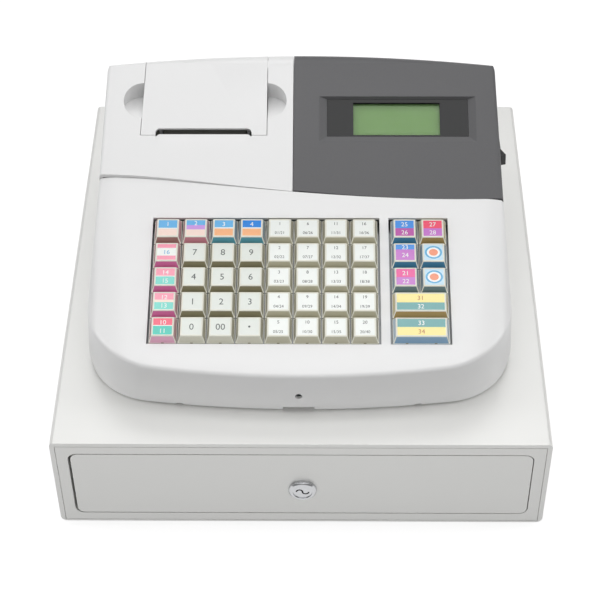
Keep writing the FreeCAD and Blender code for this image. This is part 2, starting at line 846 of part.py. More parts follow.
def seam_prism(shift, behind):
    """Space in front of or behind the seam between the deck and the rear housings."""
    points = []
    for x_share, y_share in zip(seam_x_shares, seam_y_shares):
        points.append(Vector(x_share * seam_half_width, seam_front_y + seam_sweep * y_share + shift, 0))
    curve = Part.BSplineCurve()
    curve.interpolate(points)
    far_y = body_back + 2 * overrun if behind else body_front - 2 * overrun
    left_far = Vector(points[0].x, far_y, 0)
    right_far = Vector(points[-1].x, far_y, 0)
    wire = Part.Wire([curve.toShape(), Part.makeLine(points[-1], right_far), Part.makeLine(right_far, left_far),
                      Part.makeLine(left_far, points[0])])
    return Part.Face(wire).extrude(Vector(0, 0, body_ceiling + overrun))


def deck_block(inset):
    plan = plan_form(inset)
    return plan.common(deck_form(inset)).common(seam_prism(0, False)).Solids[0]


def rear_block(inset):
    plan = plan_form(inset)
    return plan.common(rear_form(inset)).cut(rear_edge_trim(inset)).common(seam_prism(0, True)).Solids[0]


def register_form(inset):
    """The register's whole upper body, drawn in from its outside by the inset."""
    return deck_block(inset).fuse(rear_block(inset)).removeSplitter()


def register_outside():
    """The same body with its visible edges rounded: the deck's front and the rear sides."""
    deck = deck_block(0)
    deck_front_z = deck_z - (deck_y - body_front) * math.tan(math.radians(deck_tilt_deg))
    crease = nearest_edge(deck, Vector(body_middle, body_front, deck_front_z))
    deck = deck.makeFillet(deck_edge_radius, [crease])
    rear = rear_block(0)
    middle_y = (slope_y + body_back) / 2
    for side in (-1, 1):
        place = Vector(body_middle + side * body_half_width, middle_y, slope_height(middle_y))
        rear = rear.makeFillet(rear_side_radius, [nearest_edge(rear, place)])
    return deck.fuse(rear).removeSplitter()


def above_cap_parting(shift):
    """Space over the slanting joint between the upper case and the two rear housings."""
    rise = math.tan(math.radians(cap_parting_deg))
    reach = body_half_width + overrun

    def height(y):
        return cap_parting_z + shift + (y - cap_parting_y) * rise
    y0 = body_front
    y1 = body_back + overrun
    return side_prism([(y0, height(y0)), (y1, height(y1)), (y1, body_ceiling + overrun), (y0, body_ceiling + overrun)],
                      -reach, reach)


def deck_opening(first, count, top, bottom):
    left = first - key_pitch / 2 - deck_opening_margin
    right = first + (count - 1) * key_pitch + key_pitch / 2 + deck_opening_margin
    return on_deck(box(left, right, opening_front, opening_back, bottom, top))


def post_places():
    """Screw posts under the deck, in front of and behind the key openings."""
    block_right = key_block_x + (key_columns - half) * key_pitch
    pad_left = key_pad_x - half * key_pitch
    pad_right = key_pad_x + (pad_columns - half) * key_pitch
    across = [key_block_x - half * key_pitch, key_block_x + (key_columns / 2 - half) * key_pitch,
              (block_right + pad_left) / 2, pad_right]
    along = [opening_front - post_from_opening, opening_back + post_from_opening]
    return [(x, u) for x in across for u in along]


def upper_case(outer, inner):
    """White upper shell: the keyboard deck, the side walls and the lower back wall."""
    shell = outer.cut(inner)
    deck = shell.common(seam_prism(-seam_gap / 2, False))
    rear = shell.common(seam_prism(-seam_gap / 2, True)).cut(above_cap_parting(0))
    case = deck.fuse(rear).removeSplitter()
    case = case.cut(deck_opening(key_block_x, key_columns, overrun, -overrun))
    case = case.cut(deck_opening(key_pad_x, pad_columns, overrun, -overrun))
    case = case.cut(cylinder(front_hole_radius, (body_middle, body_front - overrun, front_hole_height), (0, 1, 0),
                             2 * overrun))
    posts = []
    plate_top = -switch_top - switch_height
    for x, u in post_places():
        posts.append(on_deck(cylinder(post_radius, (x, u, plate_top), (0, 0, 1), -plate_top - body_wall / 2)))
    case = fuse_all([case] + posts)
    case = case.cut(power_switch_hole())
    return case.cut(jack_hole())


def bottom_skirt(inset, z0, z1):
    """Lower edge of the register, with the same corners as the shell above it."""
    block = bowed_plan(inset, z0, z1)
    for want_front, radius in ((True, corner_radius), (False, back_corner_radius)):
        edges = upright_short_edges(block, want_front)
        block = block.makeFillet(radius - inset, edges)
    return block


def upright_short_edges(shape, want_front):
    middle = (body_front + body_back) / 2
    found = []
    for edge in shape.Edges:
        size = edge.BoundBox
        if size.YLength < size.ZLength and size.XLength < size.ZLength:
            if (edge.CenterOfMass.y < middle) == want_front:
                found.append(edge)
    return found


def lower_case():
    """Shallow bottom tray of the register, standing on four pads, with three notches in its front edge."""
    outer = bottom_skirt(skirt_undercut, body_floor, body_parting)
    inner = bottom_skirt(skirt_undercut + body_wall, body_floor + body_wall, body_parting + overrun)
    tray = outer.cut(inner)
    for x, width, height in ((body_middle, skirt_notch_width, skirt_notch_height),
                             (body_middle - skirt_slot_shift, skirt_slot_width, skirt_slot_height),
                             (body_middle + skirt_slot_shift, skirt_slot_width, skirt_slot_height)):
        tray = tray.cut(box(x - width / 2, x + width / 2, body_front - overrun, body_front + overrun,
                            body_floor - overrun, body_floor + height))
    pads = []
    inward = body_half_width - corner_radius
    for x in (body_middle - inward, body_middle + inward):
        for y in (body_front + corner_radius, body_back - corner_radius):
            pads.append(cylinder(seat_pad_radius, (x, y, cabinet_height), (0, 0, 1), body_gap + body_wall / 2))
    return fuse_all([tray] + pads)


# Printer housing and cover

def cover_plan(grow, z0, z1):
    """The cover's outline in plan; its left side draws in towards the back."""
    y0 = slope_y
    y1 = body_back + overrun
    lean = (cover_left_back - cover_left_front) / (body_back - slope_y)
    left0 = cover_left_front - grow
    left1 = cover_left_front - grow + lean * (y1 - y0)
    return plan_prism([(left0, y0), (cover_right + grow, y0), (cover_right + grow, y1), (left1, y1)], z0, z1)


def beyond_slope_line(along):
    """Space behind a line across the slope, cut square to the slope's surface."""
    reach = body_half_width
    return on_slope(box(-reach, reach, along, body_half_width + overrun, -2 * overrun, 4 * overrun))


def cover_tool(grow, front, notch_back, low_back):
    """The part of the skin that belongs to the cover, or to the opening under it."""
    plan = cover_plan(grow, body_parting, body_ceiling + overrun)
    tool = plan.common(beyond_slope_line(front))
    notch = on_slope(rounded_box(slot_left + grow, slot_right - grow, 0, notch_back, -2 * overrun, overrun,
                                 lip_radius, (0, 0, 1)))
    tool = tool.cut(notch)
    behind = box(-body_half_width, 0, hinge_y - slope_edge_radius, body_back + overrun, body_parting - overrun, low_back)
    return tool.cut(behind)


def bay_block(outer_skin, inner_skin):
    """Walls of the paper bay, hanging under the printer housing."""
    walls = box(bay_left - bay_wall, bay_right + bay_wall, bay_front - bay_wall, body_back + overrun,
                bay_floor, body_ceiling)
    in_cap = walls.common(outer_skin).common(above_cap_parting(0))
    below = walls.common(inner_skin)
    return in_cap.fuse(below)


def bay_pocket(inner, back_inner):
    """Room inside the bay; its back wall is drawn in below the neck to clear the upper case."""
    floor_top = bay_floor + bay_wall
    front = box(bay_left, bay_right, bay_front, roll_y, floor_top, body_ceiling)
    low = box(bay_left, bay_right, roll_y, body_back + overrun, floor_top, bay_neck)
    high = box(bay_left, bay_right, roll_y, body_back + overrun, bay_neck, body_ceiling)
    return fuse_all([front.common(inner), low.common(back_inner), high.common(inner)])


def recess_well(middle, grow, bottom):
    """Upright well whose rim is a circle on the slope, and so an ellipse in plan."""
    lean = math.cos(math.radians(slope_tilt_deg))
    y = slope_y + recess_along * lean
    rim = Part.Ellipse(Vector(middle, y, bottom), recess_radius + grow, recess_radius * lean + grow)
    return Part.Face(Part.Wire([rim.toShape()])).extrude(Vector(0, 0, body_ceiling + overrun - bottom))


def recess_floor():
    """Height of the level floor, a little under the well's front rim."""
    lean = math.cos(math.radians(slope_tilt_deg))
    return slope_height(slope_y + (recess_along - recess_radius) * lean) - recess_front_depth


def recess_cups():
    """Walls and floors of the two finger wells, which end at the cover's sides."""
    beside_cover = cover_plan(cover_gap, body_parting, body_ceiling + overrun)
    cups = []
    for middle in (recess_left, recess_right):
        cups.append(recess_well(middle, bay_wall, recess_floor() - bay_wall).cut(beside_cover))
    return cups


def printer_housing(outer, inner, between, clear, back_inner):
    """White rear housing: slope, paper lip, finger wells and the paper bay."""
    shell = outer.cut(inner).common(seam_prism(seam_gap / 2, True)).common(above_cap_parting(0))
    cap = shell.common(box(-body_half_width - overrun, housing_split - seam_gap / 2, 0, body_back + overrun, 0,
                           body_ceiling))
    cap = fuse_all([cap, bay_block(between, clear)]).cut(bay_pocket(inner, back_inner))
    cap = fuse_all([cap] + [cup.common(between) for cup in recess_cups()])
    opening = cover_tool(cover_gap, cover_front - cover_gap, lip_back, hinge_slot_bottom)
    cap = cap.cut(opening)
    for middle in (recess_left, recess_right):
        cap = cap.cut(recess_well(middle, 0, recess_floor()))
    lip = on_slope(rounded_box(slot_left, slot_right, lip_front, lip_back + lip_radius * 2, -lip_depth, overrun,
                               lip_radius, (0, 0, 1)))
    cap = cap.cut(lip)
    return cap.cut(rod_x(hinge_pin_radius + running_gap, bay_left - overrun / 4, bay_right + overrun / 4, hinge_y,
                         hinge_z))


def printer_cover(outer, inner):
    """Lid over the paper, with its hinge barrel and the brackets of the platen roller."""
    skin = outer.cut(inner).common(cover_tool(0, cover_front, slot_back, cover_back_height))
    barrel_left = cover_left_back + cover_gap
    barrel_right = cover_right - cover_gap
    barrel = rod_x(hinge_barrel_radius, barrel_left, barrel_right, hinge_y, hinge_z)
    web = side_prism([(hinge_y - hinge_barrel_radius, hinge_z), (hinge_y + hinge_barrel_radius, hinge_z),
                      (body_back, cover_back_height), (body_back, cover_back_height + cover_wall),
                      (hinge_y - hinge_barrel_radius, cover_back_height + cover_wall)],
                     barrel_left, barrel_right).common(outer)
    pin = rod_x(hinge_pin_radius, bay_left - bay_wall / 2, bay_right + bay_wall / 2, hinge_y, hinge_z)
    parts = [skin, barrel, web, pin]
    for side, edge in ((-1, platen_left), (1, platen_right)):
        near = edge + side * platen_bracket_gap
        far = near + side * platen_bracket
        x0, x1 = sorted((near, far))
        width = platen_radius * bracket_share
        plate = side_prism([(platen_y - width, platen_z), (platen_y + width, platen_z),
                            (platen_y + 2 * width, slope_height(platen_y)),
                            (platen_y - width / 4, slope_height(platen_y - width / 4))], x0, x1).common(outer)
        ear = rod_x(width, x0, x1, platen_y, platen_z)
        bore = rod_x(platen_shaft_radius + running_gap, x0 - overrun / 10, x1 + overrun / 10, platen_y, platen_z)
        parts.append(fuse_all([plate, ear]).cut(bore))
    return fuse_all(parts)


def platen_roller():
    """Rubber roller on its shaft, with the small drive gear at the left end."""
    roller = rod_x(platen_radius, platen_left, platen_right, platen_y, platen_z)
    reach = platen_bracket_gap + platen_bracket + seat_gap
    shaft = rod_x(platen_shaft_radius, platen_left - reach - platen_gear_width, platen_right + reach, platen_y,
                  platen_z)
    gear = rod_x(platen_gear_radius, platen_left - reach - platen_gear_width, platen_left - reach, platen_y, platen_z)
    return fuse_all([roller, shaft, gear])


def print_mechanism():
    """Thermal head block under the platen, its legs to the bay floor and the tear bar."""
    top = platen_z - platen_radius - seat_gap
    front = platen_y - head_depth
    floor_top = bay_floor + bay_wall
    head = box(platen_left + platen_bracket_gap, platen_right - platen_bracket_gap, front, platen_y,
               top - head_height, top)
    legs = []
    for x in (platen_left + platen_bracket_gap, platen_right - platen_bracket_gap - frame_leg):
        legs.append(box(x, x + frame_leg, front, front + frame_leg, floor_top, top - head_height))
    bar = box(platen_left + platen_bracket_gap, platen_right - platen_bracket_gap, front - tear_bar_thick, front,
              top - head_height, tear_bar_top)
    return fuse_all([head, bar] + legs)


def paper_roll():
    """Roll of receipt paper on its cardboard core, lying in the bay."""
    middle = (platen_left + platen_right) / 2
    left = middle - roll_width / 2
    right = middle + roll_width / 2
    return rod_x(roll_radius, left, right, roll_y, roll_z).cut(
        rod_x(roll_core_radius, left - overrun, right + overrun, roll_y, roll_z))


# Display

def slope_rectangle(left, right, front, back, height):
    corners = [Vector(left, front, height), Vector(right, front, height), Vector(right, back, height),
               Vector(left, back, height)]
    return Part.makePolygon(corners + corners[:1])


def display_housing(outer, inner):
    """Dark rear housing with a bevelled window over the display."""
    shell = outer.cut(inner).common(seam_prism(display_seam_gap, True)).common(above_cap_parting(0))
    cap = shell.common(box(housing_split + seam_gap / 2, body_half_width + overrun, 0, body_back + overrun, 0,
                           body_ceiling))
    pad = on_slope(box(bezel_left - lens_frame_margin, bezel_right + lens_frame_margin,
                       bezel_front - lens_frame_margin, bezel_back + lens_frame_margin, -lens_frame, -body_wall / 2))
    cap = fuse_all([cap, pad])
    lift = lens_depth
    outer_left = bezel_left - (lens_left - bezel_left)
    bevel = Part.makeLoft([slope_rectangle(lens_left, lens_right, lens_front, lens_back, -lens_depth),
                           slope_rectangle(outer_left, 2 * bezel_right - lens_right,
                                           2 * bezel_front - lens_front, 2 * bezel_back - lens_back, lift)],
                          True, True)
    cap = cap.cut(on_slope(bevel))
    bottom = -lens_depth - lens_thick - lens_gap
    cap = cap.cut(on_slope(box(lens_left, lens_right, lens_front, lens_back, bottom, overrun)))
    return cap.cut(on_slope(box(lens_left + lens_ledge, lens_right - lens_ledge, lens_front + lens_ledge,
                                lens_back - lens_ledge, -overrun, 0)))


def display_window():
    """Clear lens lying on the housing's ledge."""
    top = -lens_depth
    return on_slope(box(lens_left + lens_gap, lens_right - lens_gap, lens_front + lens_gap, lens_back - lens_gap,
                        top - lens_thick, top))


def lcd_module():
    """Display board under the housing, with its raised glass in the window."""
    board = box(lens_left + lens_ledge + seat_gap - lcd_board_margin, lens_right - lens_ledge - seat_gap
                + lcd_board_margin, lens_front - lcd_board_margin, lens_back + lcd_board_margin,
                -lens_frame - lcd_board, -lens_frame)
    glass = box(lcd_left, lcd_right, lcd_front, lcd_back, -lens_frame, -lens_frame + lcd_glass)
    return on_slope(fuse_all([board, glass]))


# Keys, their switches and the plate

def key_place(column, row):
    """Middle of a key on the deck: row 0 is nearest to the user."""
    return key_block_x + column * key_pitch, key_row_start + row * key_pitch


def pad_place(column, row):
    return key_pad_x + column * key_pitch, key_row_start + row * key_pitch


def key_cap(x, u, extra_width):
    """Cap with a collar at its foot, steeper at the back than in front, a shallow dish and its stem."""
    base = key_base / 2
    wide = extra_width / 2

    def ring(half_x, half_u, shift, height):
        middle = u + shift
        return slope_rectangle(x - half_x - wide, x + half_x + wide, middle - half_u, middle + half_u, height)
    shoulder = key_collar - key_skirt
    collar = box(x - base - wide, x + base + wide, u - base, u + base, -key_skirt, shoulder)
    taper = Part.makeLoft([ring(base, base, 0, shoulder),
                           ring(key_top_width / 2, key_top_length / 2, key_top_shift, key_height)], True, True)
    cap = fuse_all([collar, taper])
    stems = []
    for shift in ((0,) if extra_width == 0 else (-wide, wide)):
        stems.append(box(x + shift - stem_width / 2, x + shift + stem_width / 2, u - stem_width / 2,
                         u + stem_width / 2, -key_skirt - stem_length, -key_skirt))
    cap = fuse_all([cap] + stems)
    dish_x = key_top_width / 2 - key_dish_margin
    dish_u = key_top_length / 2 - key_dish_margin
    dish_middle = u + key_top_shift
    dish = box(x - dish_x - wide, x + dish_x + wide, dish_middle - dish_u, dish_middle + dish_u,
               key_height - key_dish, key_height + overrun)
    return on_deck(cap.cut(dish))


def key_switch_plate():
    """Steel plate under the deck with a switch body below every key."""
    top = -switch_top - switch_height
    left = key_block_x - half * key_pitch - plate_side
    right = key_pad_x + (pad_columns - half) * key_pitch + plate_side
    plate = box(left, right, opening_front - plate_margin, opening_back + plate_margin, top - plate_thick, top)
    places = [key_place(c, r) for c in range(key_columns) for r in range(key_rows)]
    places += [pad_place(c, r) for c in range(pad_columns) for r in range(key_rows)]
    hole = stem_width / 2 + stem_gap
    body = switch_width / 2
    switches = []
    for x, u in places:
        case = box(x - body, x + body, u - body, u + body, top, top + switch_height)
        switches.append(case.cut(box(x - hole, x + hole, u - hole, u + hole, top, top + overrun)))
    return on_deck(solid_group([plate] + switches))


# Power switch and inlet

def on_side_wall(shape):
    """Turns a shape drawn on the plane x = 0 to lie on the drafted and tapered right wall."""
    lean = math.tan(math.radians(side_draft_deg))
    taper = math.tan(math.radians(side_taper_deg))
    wall = body_middle + body_half_width - (switch_z - body_parting) * lean - (switch_y - side_taper_start) * taper
    turn = Rotation(Vector(0, 0, 1), side_taper_deg).multiply(Rotation(Vector(0, 1, 0), -side_draft_deg))
    moved = shape.copy()
    moved.Placement = Placement(Vector(wall, switch_y, switch_z), turn)
    return moved


def power_switch_hole():
    reach = switch_length / 2 - switch_body_inset + seat_gap / 2
    rise = switch_face_height / 2 - switch_body_inset + seat_gap / 2
    return on_side_wall(box(-switch_body_depth, overrun, -reach, reach, -rise, rise))


def power_switch_case():
    """Fixed case of the switch, with its thin flange on the wall."""
    long_half = switch_length / 2
    tall_half = switch_face_height / 2
    flange = box(0, switch_flange, -long_half, long_half, -tall_half, tall_half)
    body = box(-switch_body_depth, switch_flange, -long_half + switch_body_inset, long_half - switch_body_inset,
               -tall_half + switch_body_inset, tall_half - switch_body_inset)
    hollow = box(-switch_hollow_depth, overrun, -long_half + switch_rim, long_half - switch_rim,
                 -tall_half + switch_rim, tall_half - switch_rim)
    pin_reach = rocker_pin_reach + seat_gap / 2
    pin_hole = cylinder(rocker_pin_radius + running_gap, (0, 0, -pin_reach), (0, 0, 1), 2 * pin_reach)
    return on_side_wall(fuse_all([flange, body]).cut(hollow).cut(pin_hole))


def power_rocker():
    """Rocker whose front end stands out of the wall while its back end is pressed in."""
    tall = rocker_height / 2

    def rim_point(angle_deg):
        angle = math.radians(angle_deg)
        return rocker_swing_radius * math.cos(angle), rocker_swing_radius * math.sin(angle)
    back_deg = math.degrees(math.acos(rocker_flush / rocker_swing_radius))
    bend = rocker_flush * math.tan(math.radians(rocker_swing_deg / 2))
    points = [(-rocker_depth, -rocker_foot), rim_point(-rocker_low_deg), rim_point(rocker_swing_deg - back_deg),
              (rocker_flush, bend), rim_point(back_deg), rim_point(rocker_low_deg), (-rocker_depth, rocker_foot)]
    corners = [Vector(x, y, -tall) for x, y in points]
    rocker = Part.Face(Part.makePolygon(corners + corners[:1])).extrude(Vector(0, 0, rocker_height))
    pin = cylinder(rocker_pin_radius, (0, 0, -rocker_pin_reach), (0, 0, 1), 2 * rocker_pin_reach)
    return on_side_wall(fuse_all([rocker, pin]))


def back_wall_y(x):
    across = x - body_middle
    return body_back - back_bow_radius + math.sqrt(back_bow_radius ** 2 - across ** 2)


def jack_hole():
    y = back_wall_y(jack_x)
    wide = jack_width / 2 + seat_gap / 2
    tall = jack_tall / 2 + seat_gap / 2
    return box(jack_x - wide, jack_x + wide, y - overrun, y + overrun, jack_height - tall, jack_height + tall)


def power_jack():
    """Socket for the mains adapter in the back wall."""
    y = back_wall_y(jack_x - jack_width / 2 - jack_flange)
    wide = jack_width / 2
    tall = jack_tall / 2
    body = box(jack_x - wide, jack_x + wide, y - jack_depth, y + jack_flange_thick, jack_height - tall,
               jack_height + tall)
    flange = box(jack_x - wide - jack_flange, jack_x + wide + jack_flange, y, y + jack_flange_thick,
                 jack_height - tall - jack_flange, jack_height + tall + jack_flange)
    bore = cylinder(jack_bore_radius, (jack_x, y - jack_depth * jack_bore_share, jack_height), (0, 1, 0), overrun)
    pin = cylinder(jack_pin_radius, (jack_x, y - jack_depth * jack_pin_share, jack_height), (0, 1, 0), jack_depth * jack_bore_share)
    return fuse_all([fuse_all([body, flange]).cut(bore), pin])


# The whole register

def key_nodes():
    """Every key by name; keys that differ only in their number share a node in each column."""
    nodes = {}
    front = 0
    rows_up = list(range(key_rows))
    nodes["key_clear"] = key_cap(*key_place(0, front), 0)
    for row in rows_up[1:-1]:
        nodes["key_function_" + str(row)] = key_cap(*key_place(0, row), 0)
    for column in range(4):
        nodes["key_top_" + str(column + 1)] = key_cap(*key_place(column, key_rows - 1), 0)
    names = [["key_0", "key_00", "key_point"], ["key_1", "key_2", "key_3"], ["key_4", "key_5", "key_6"],
             ["key_7", "key_8", "key_9"]]
    for row, line in enumerate(names):
        for column, name in enumerate(line):
            nodes[name] = key_cap(*key_place(column + 1, row), 0)
    for column in range(4, key_columns):
        caps = [key_cap(*key_place(column, row), 0) for row in rows_up]
        nodes["keys_department_" + str(column - 3)] = solid_group(caps)
    for row in (2, 3, 4):
        for column, side in enumerate(("left", "right")):
            nodes["key_pad_" + side + "_" + str(row - 1)] = key_cap(*pad_place(column, row), 0)
    middle = key_pad_x + key_pitch / 2
    nodes["key_subtotal"] = key_cap(middle, key_row_start + key_pitch, key_pitch)
    nodes["key_total"] = key_cap(middle, key_row_start, key_pitch)
    return nodes


def all_nodes():
    outer = register_outside()
    inner = register_form(body_wall)
    between = register_form(body_wall / 2)
    clear = register_form(body_wall + seat_gap)
    back_inner = register_form(body_wall + bay_back_wall)
    nodes = {
        "cabinet_cover": cabinet_cover(),
        "cabinet_base": cabinet_base(),
        "front_frame": front_frame(),
        "cabinet_feet": cabinet_feet(),
        "cabinet_rails": cabinet_rails(),
        "drawer_front": drawer_front(),
        "drawer_box": drawer_box(),
        "lock_housing": lock_housing(),
        "lock_plug": lock_plug(),
        "cash_tray": cash_tray(),
        "bill_clips": bill_clips(),
        "latch_lever": latch_lever(),
        "release_solenoid": release_solenoid(),
        "lower_case": lower_case(),
        "upper_case": upper_case(outer, inner),
        "printer_housing": printer_housing(outer, inner, between, clear, back_inner),
        "display_housing": display_housing(outer, inner),
        "display_window": display_window(),
        "lcd_module": lcd_module(),
        "printer_cover": printer_cover(outer, inner),
        "platen_roller": platen_roller(),
        "print_mechanism": print_mechanism(),
        "paper_roll": paper_roll(),
        "key_switch_plate": key_switch_plate(),
        "power_switch_case": power_switch_case(),
        "power_rocker": power_rocker(),
        "power_jack": power_jack(),
    }
    nodes.update(key_nodes())
    return nodes


def write_parts():
    os.makedirs("parts", exist_ok=True)
    footprint = Vector(0, (lock_ring_proud - cabinet_depth) / 2, foot_height)
    for name, shape in all_nodes().items():
        placed = shape.copy()
        placed.translate(footprint)
        placed.exportStep("parts/" + name + ".step")
        print(name, len(placed.Solids), round(placed.Volume), placed.isValid())


write_parts()
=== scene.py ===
"""Dresses the counter register: keys, digits, fasteners, finishes and a plain studio."""

import math

import bmesh
import bpy
from mathutils import Matrix, Vector


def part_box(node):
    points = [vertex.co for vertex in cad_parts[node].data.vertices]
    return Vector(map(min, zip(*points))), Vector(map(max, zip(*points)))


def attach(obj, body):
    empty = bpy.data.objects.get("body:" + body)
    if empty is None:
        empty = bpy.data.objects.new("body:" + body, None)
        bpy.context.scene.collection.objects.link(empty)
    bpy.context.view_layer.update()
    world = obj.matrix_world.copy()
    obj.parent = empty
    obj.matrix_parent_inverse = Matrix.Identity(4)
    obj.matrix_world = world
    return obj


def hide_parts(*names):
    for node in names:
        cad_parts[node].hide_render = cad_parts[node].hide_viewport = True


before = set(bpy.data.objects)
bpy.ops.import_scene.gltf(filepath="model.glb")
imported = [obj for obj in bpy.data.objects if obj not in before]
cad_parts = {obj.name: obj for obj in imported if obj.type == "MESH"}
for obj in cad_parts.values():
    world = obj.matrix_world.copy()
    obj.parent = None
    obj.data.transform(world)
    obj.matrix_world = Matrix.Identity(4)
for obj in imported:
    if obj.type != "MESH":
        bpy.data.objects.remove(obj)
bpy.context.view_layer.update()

bl_info = {
    "name": "Counter register",
    "version": (1, 0, 0),
    "blender": (4, 5, 0),
    "location": "View3D > Sidebar > Register",
    "description": "Keys, finishes and studio for a register on a cash drawer",
    "category": "Object",
}

MM = 0.001
DECK_START = (0, -115.7 * MM, 128.0 * MM)
DECK_TILT = math.radians(15.17)
DECK = Matrix.Translation(DECK_START) @ Matrix.Rotation(DECK_TILT, 4, "X")
SLOPE_START = (0, -5.9 * MM, 157.8 * MM)
SLOPE_TILT = math.radians(25.0)
SLOPE = Matrix.Translation(SLOPE_START) @ Matrix.Rotation(SLOPE_TILT, 4, "X")

# Middles of the keys' feet in the deck's frame: first column, front row, pad's first column
LEFT_KEY = -91.1 * MM
FRONT_KEY = 4.1 * MM
PAD_KEY = 69.8 * MM
PITCH = 19.05 * MM

# Bow of the register's back wall, and the screws in it and under the cabinet
BACK_BOW = 850 * MM
BACK_SCREW_SIDE = 45 * MM
BACK_SCREW_HEIGHT = 132 * MM
BASE_SCREW_SIDE = 150 * MM
BASE_SCREW_DEPTH = 70 * MM
SCREW_SEGMENTS = 24

# Places on the solids where one finish changes to another
LOCK_X = 1.1 * MM
LOCK_Z = 38.5 * MM
# The keyway's reach and depth bound the painted shade inside the lock's core
KEYWAY_REACH = 6 * MM
KEYWAY_FRONT = -174.6 * MM
KEYWAY_BACK = -168 * MM
ROLL_Y = 66.8 * MM
ROLL_Z = 144 * MM
GLASS_LEFT = 35.6 * MM
GLASS_RIGHT = 96.3 * MM
GLASS_FRONT = 43.5 * MM
GLASS_BACK = 68.4 * MM
GLASS_LEVEL = -6.9 * MM
# Where the painted shade at the display glass's upper edge begins
GLASS_PAINTED_SHADE = 62.5 * MM
PLATE_TOP = -11.98 * MM
WINDING_LEFT = 27 * MM
WINDING_FRONT = 132.7 * MM
WINDING_BACK = 149.9 * MM

# Print and catches of the keys
DIGIT_SHARE = 0.73
PRINT_THICKNESS = 0.01 * MM
PRINT_RISE = 0.012 * MM
STEM_GAP = 0.01 * MM
POINT_RADIUS = 0.75 * MM
POINT_SEGMENTS = 20
DEPARTMENT_SHIFT = 3.6 * MM
# The catch is a thin block in painted shade, just proud of the key's foot
CATCH_SIZE = (1.8 * MM, 0.5 * MM, 0.45 * MM)
CATCH_LOW = -0.75 * MM
CATCH_PROUD = 0.02 * MM

# Rounding of the lock ring's lip: the edges near its front that turn by about 45 degrees
LIP_DEPTH = 2 * MM
LIP_ROUND = 0.55 * MM
LIP_LEAST = math.radians(40)
LIP_MOST = math.radians(50)

# Closeness of points, and how far a face's normal points up when it is level or only sloping
MERGE = 0.001 * MM
NEAR = 0.001 * MM
CUT_NEAR = 0.0001 * MM
LEVEL = 0.99
SLOPING = 0.2

# Studio: each lamp's place, aim, width and depth, and the setting that holds its power
LAMPS = {
    "front_lamp": ((0, -0.42, 0.3), (0, -0.17, 0.04), (0.6, 0.08), "front_light"),
    "back_lamp": ((0, 0.95, 1.25), (0, 0, 0.1), (1.4, 0.8), "back_light"),
    "top_lamp": ((0, 0.1, 1.6), (0, 0, 0.1), (1.0, 0.5), "top_light"),
    "left_lamp": ((-1.2, 0, 0.9), (0, 0, 0.12), (0.4, 1.0), "side_light"),
    "right_lamp": ((1.2, 0, 0.9), (0, 0, 0.12), (0.4, 1.0), "side_light"),
}
FLOOR_REACH = 6
FLOOR_LIT = (0.3, 0.3, 0.3)
FLOOR_SHADOW = (0.35, 0.35, 0.35, 1)
WHITE = (1, 1, 1, 1)
CAMERA_PLACE = (0.013807, -0.895320, 0.957418)
CAMERA_PITCH = math.radians(45.563)
CAMERA_YAW = math.radians(-1.037)
CAMERA_ROLL = math.radians(-0.612)
SENSOR = 36


def linear(red, green, blue):
    """A screen colour from 0 to 255 as light values."""
    shares = [value / 255 for value in (red, green, blue)]
    return tuple(s / 12.92 if s <= 0.04045 else ((s + 0.055) / 1.055) ** 2.4 for s in shares)


def colour(label, red, green, blue):
    about = f"Base colour of the {label.lower()}"
    return bpy.props.FloatVectorProperty(name=label, description=about, subtype="COLOR", size=3, min=0, max=1,
                                         default=linear(red, green, blue))


def length(label, about, value):
    return bpy.props.FloatProperty(name=label, description=about, default=value, min=0, unit="LENGTH",
                                   precision=5)


def power(label, about, value):
    return bpy.props.FloatProperty(name=label, description=about, default=value, min=0, unit="POWER")


def dimmed(base, share):
    return tuple(channel * share for channel in base)


class RegisterSizes(bpy.types.PropertyGroup):
    """Sizes of the pieces that are added to the solids."""

    key_base: length("Key base", "Width of a key at its foot", 18.3 * MM)
    key_ledge: length("Key ledge", "Width of the clear ledge round a key's foot", 0.35 * MM)
    key_top_shift: length("Key top shift", "How far a key's top lies behind the middle of its foot", 0.8 * MM)
    key_top_width: length("Key top width", "Width of a key's top", 14.4 * MM)
    key_top_length: length("Key top length", "Length of a key's top", 14.0 * MM)
    key_height: length("Key height", "Height of a key's top over the deck", 4.4 * MM)
    key_skirt: length("Key skirt", "Depth of a key's foot below the deck", 2.1 * MM)
    key_collar: length("Key collar", "Height of the upright foot of a key", 1.5 * MM)
    key_round: length("Key edge", "Rounding of a key's edges", 0.5 * MM)
    key_frame: length("Key frame", "Width of the clear rim round a key's label", 0.7 * MM)
    key_sink: length("Label depth", "Depth of a key's label below its rim", 0.12 * MM)
    stem_width: length("Stem width", "Width of the stem under a key", 4.0 * MM)
    stem_foot: length("Stem foot", "Depth of a stem's end below the deck", 8.5 * MM)
    digit: length("Digits", "Height of the digits on the number keys", 4.8 * MM)
    small_digit: length("Small digits", "Height of the digits on the department keys", 2.2 * MM)
    band_digit: length("Band digits", "Height of the white digits on the coloured bands", 3.4 * MM)
    screw_head: length("Screw head", "Radius of a screw's head", 3.0 * MM)
    coil_wire: length("Coil wire", "Spacing of the wire on the release magnet", 0.5 * MM)


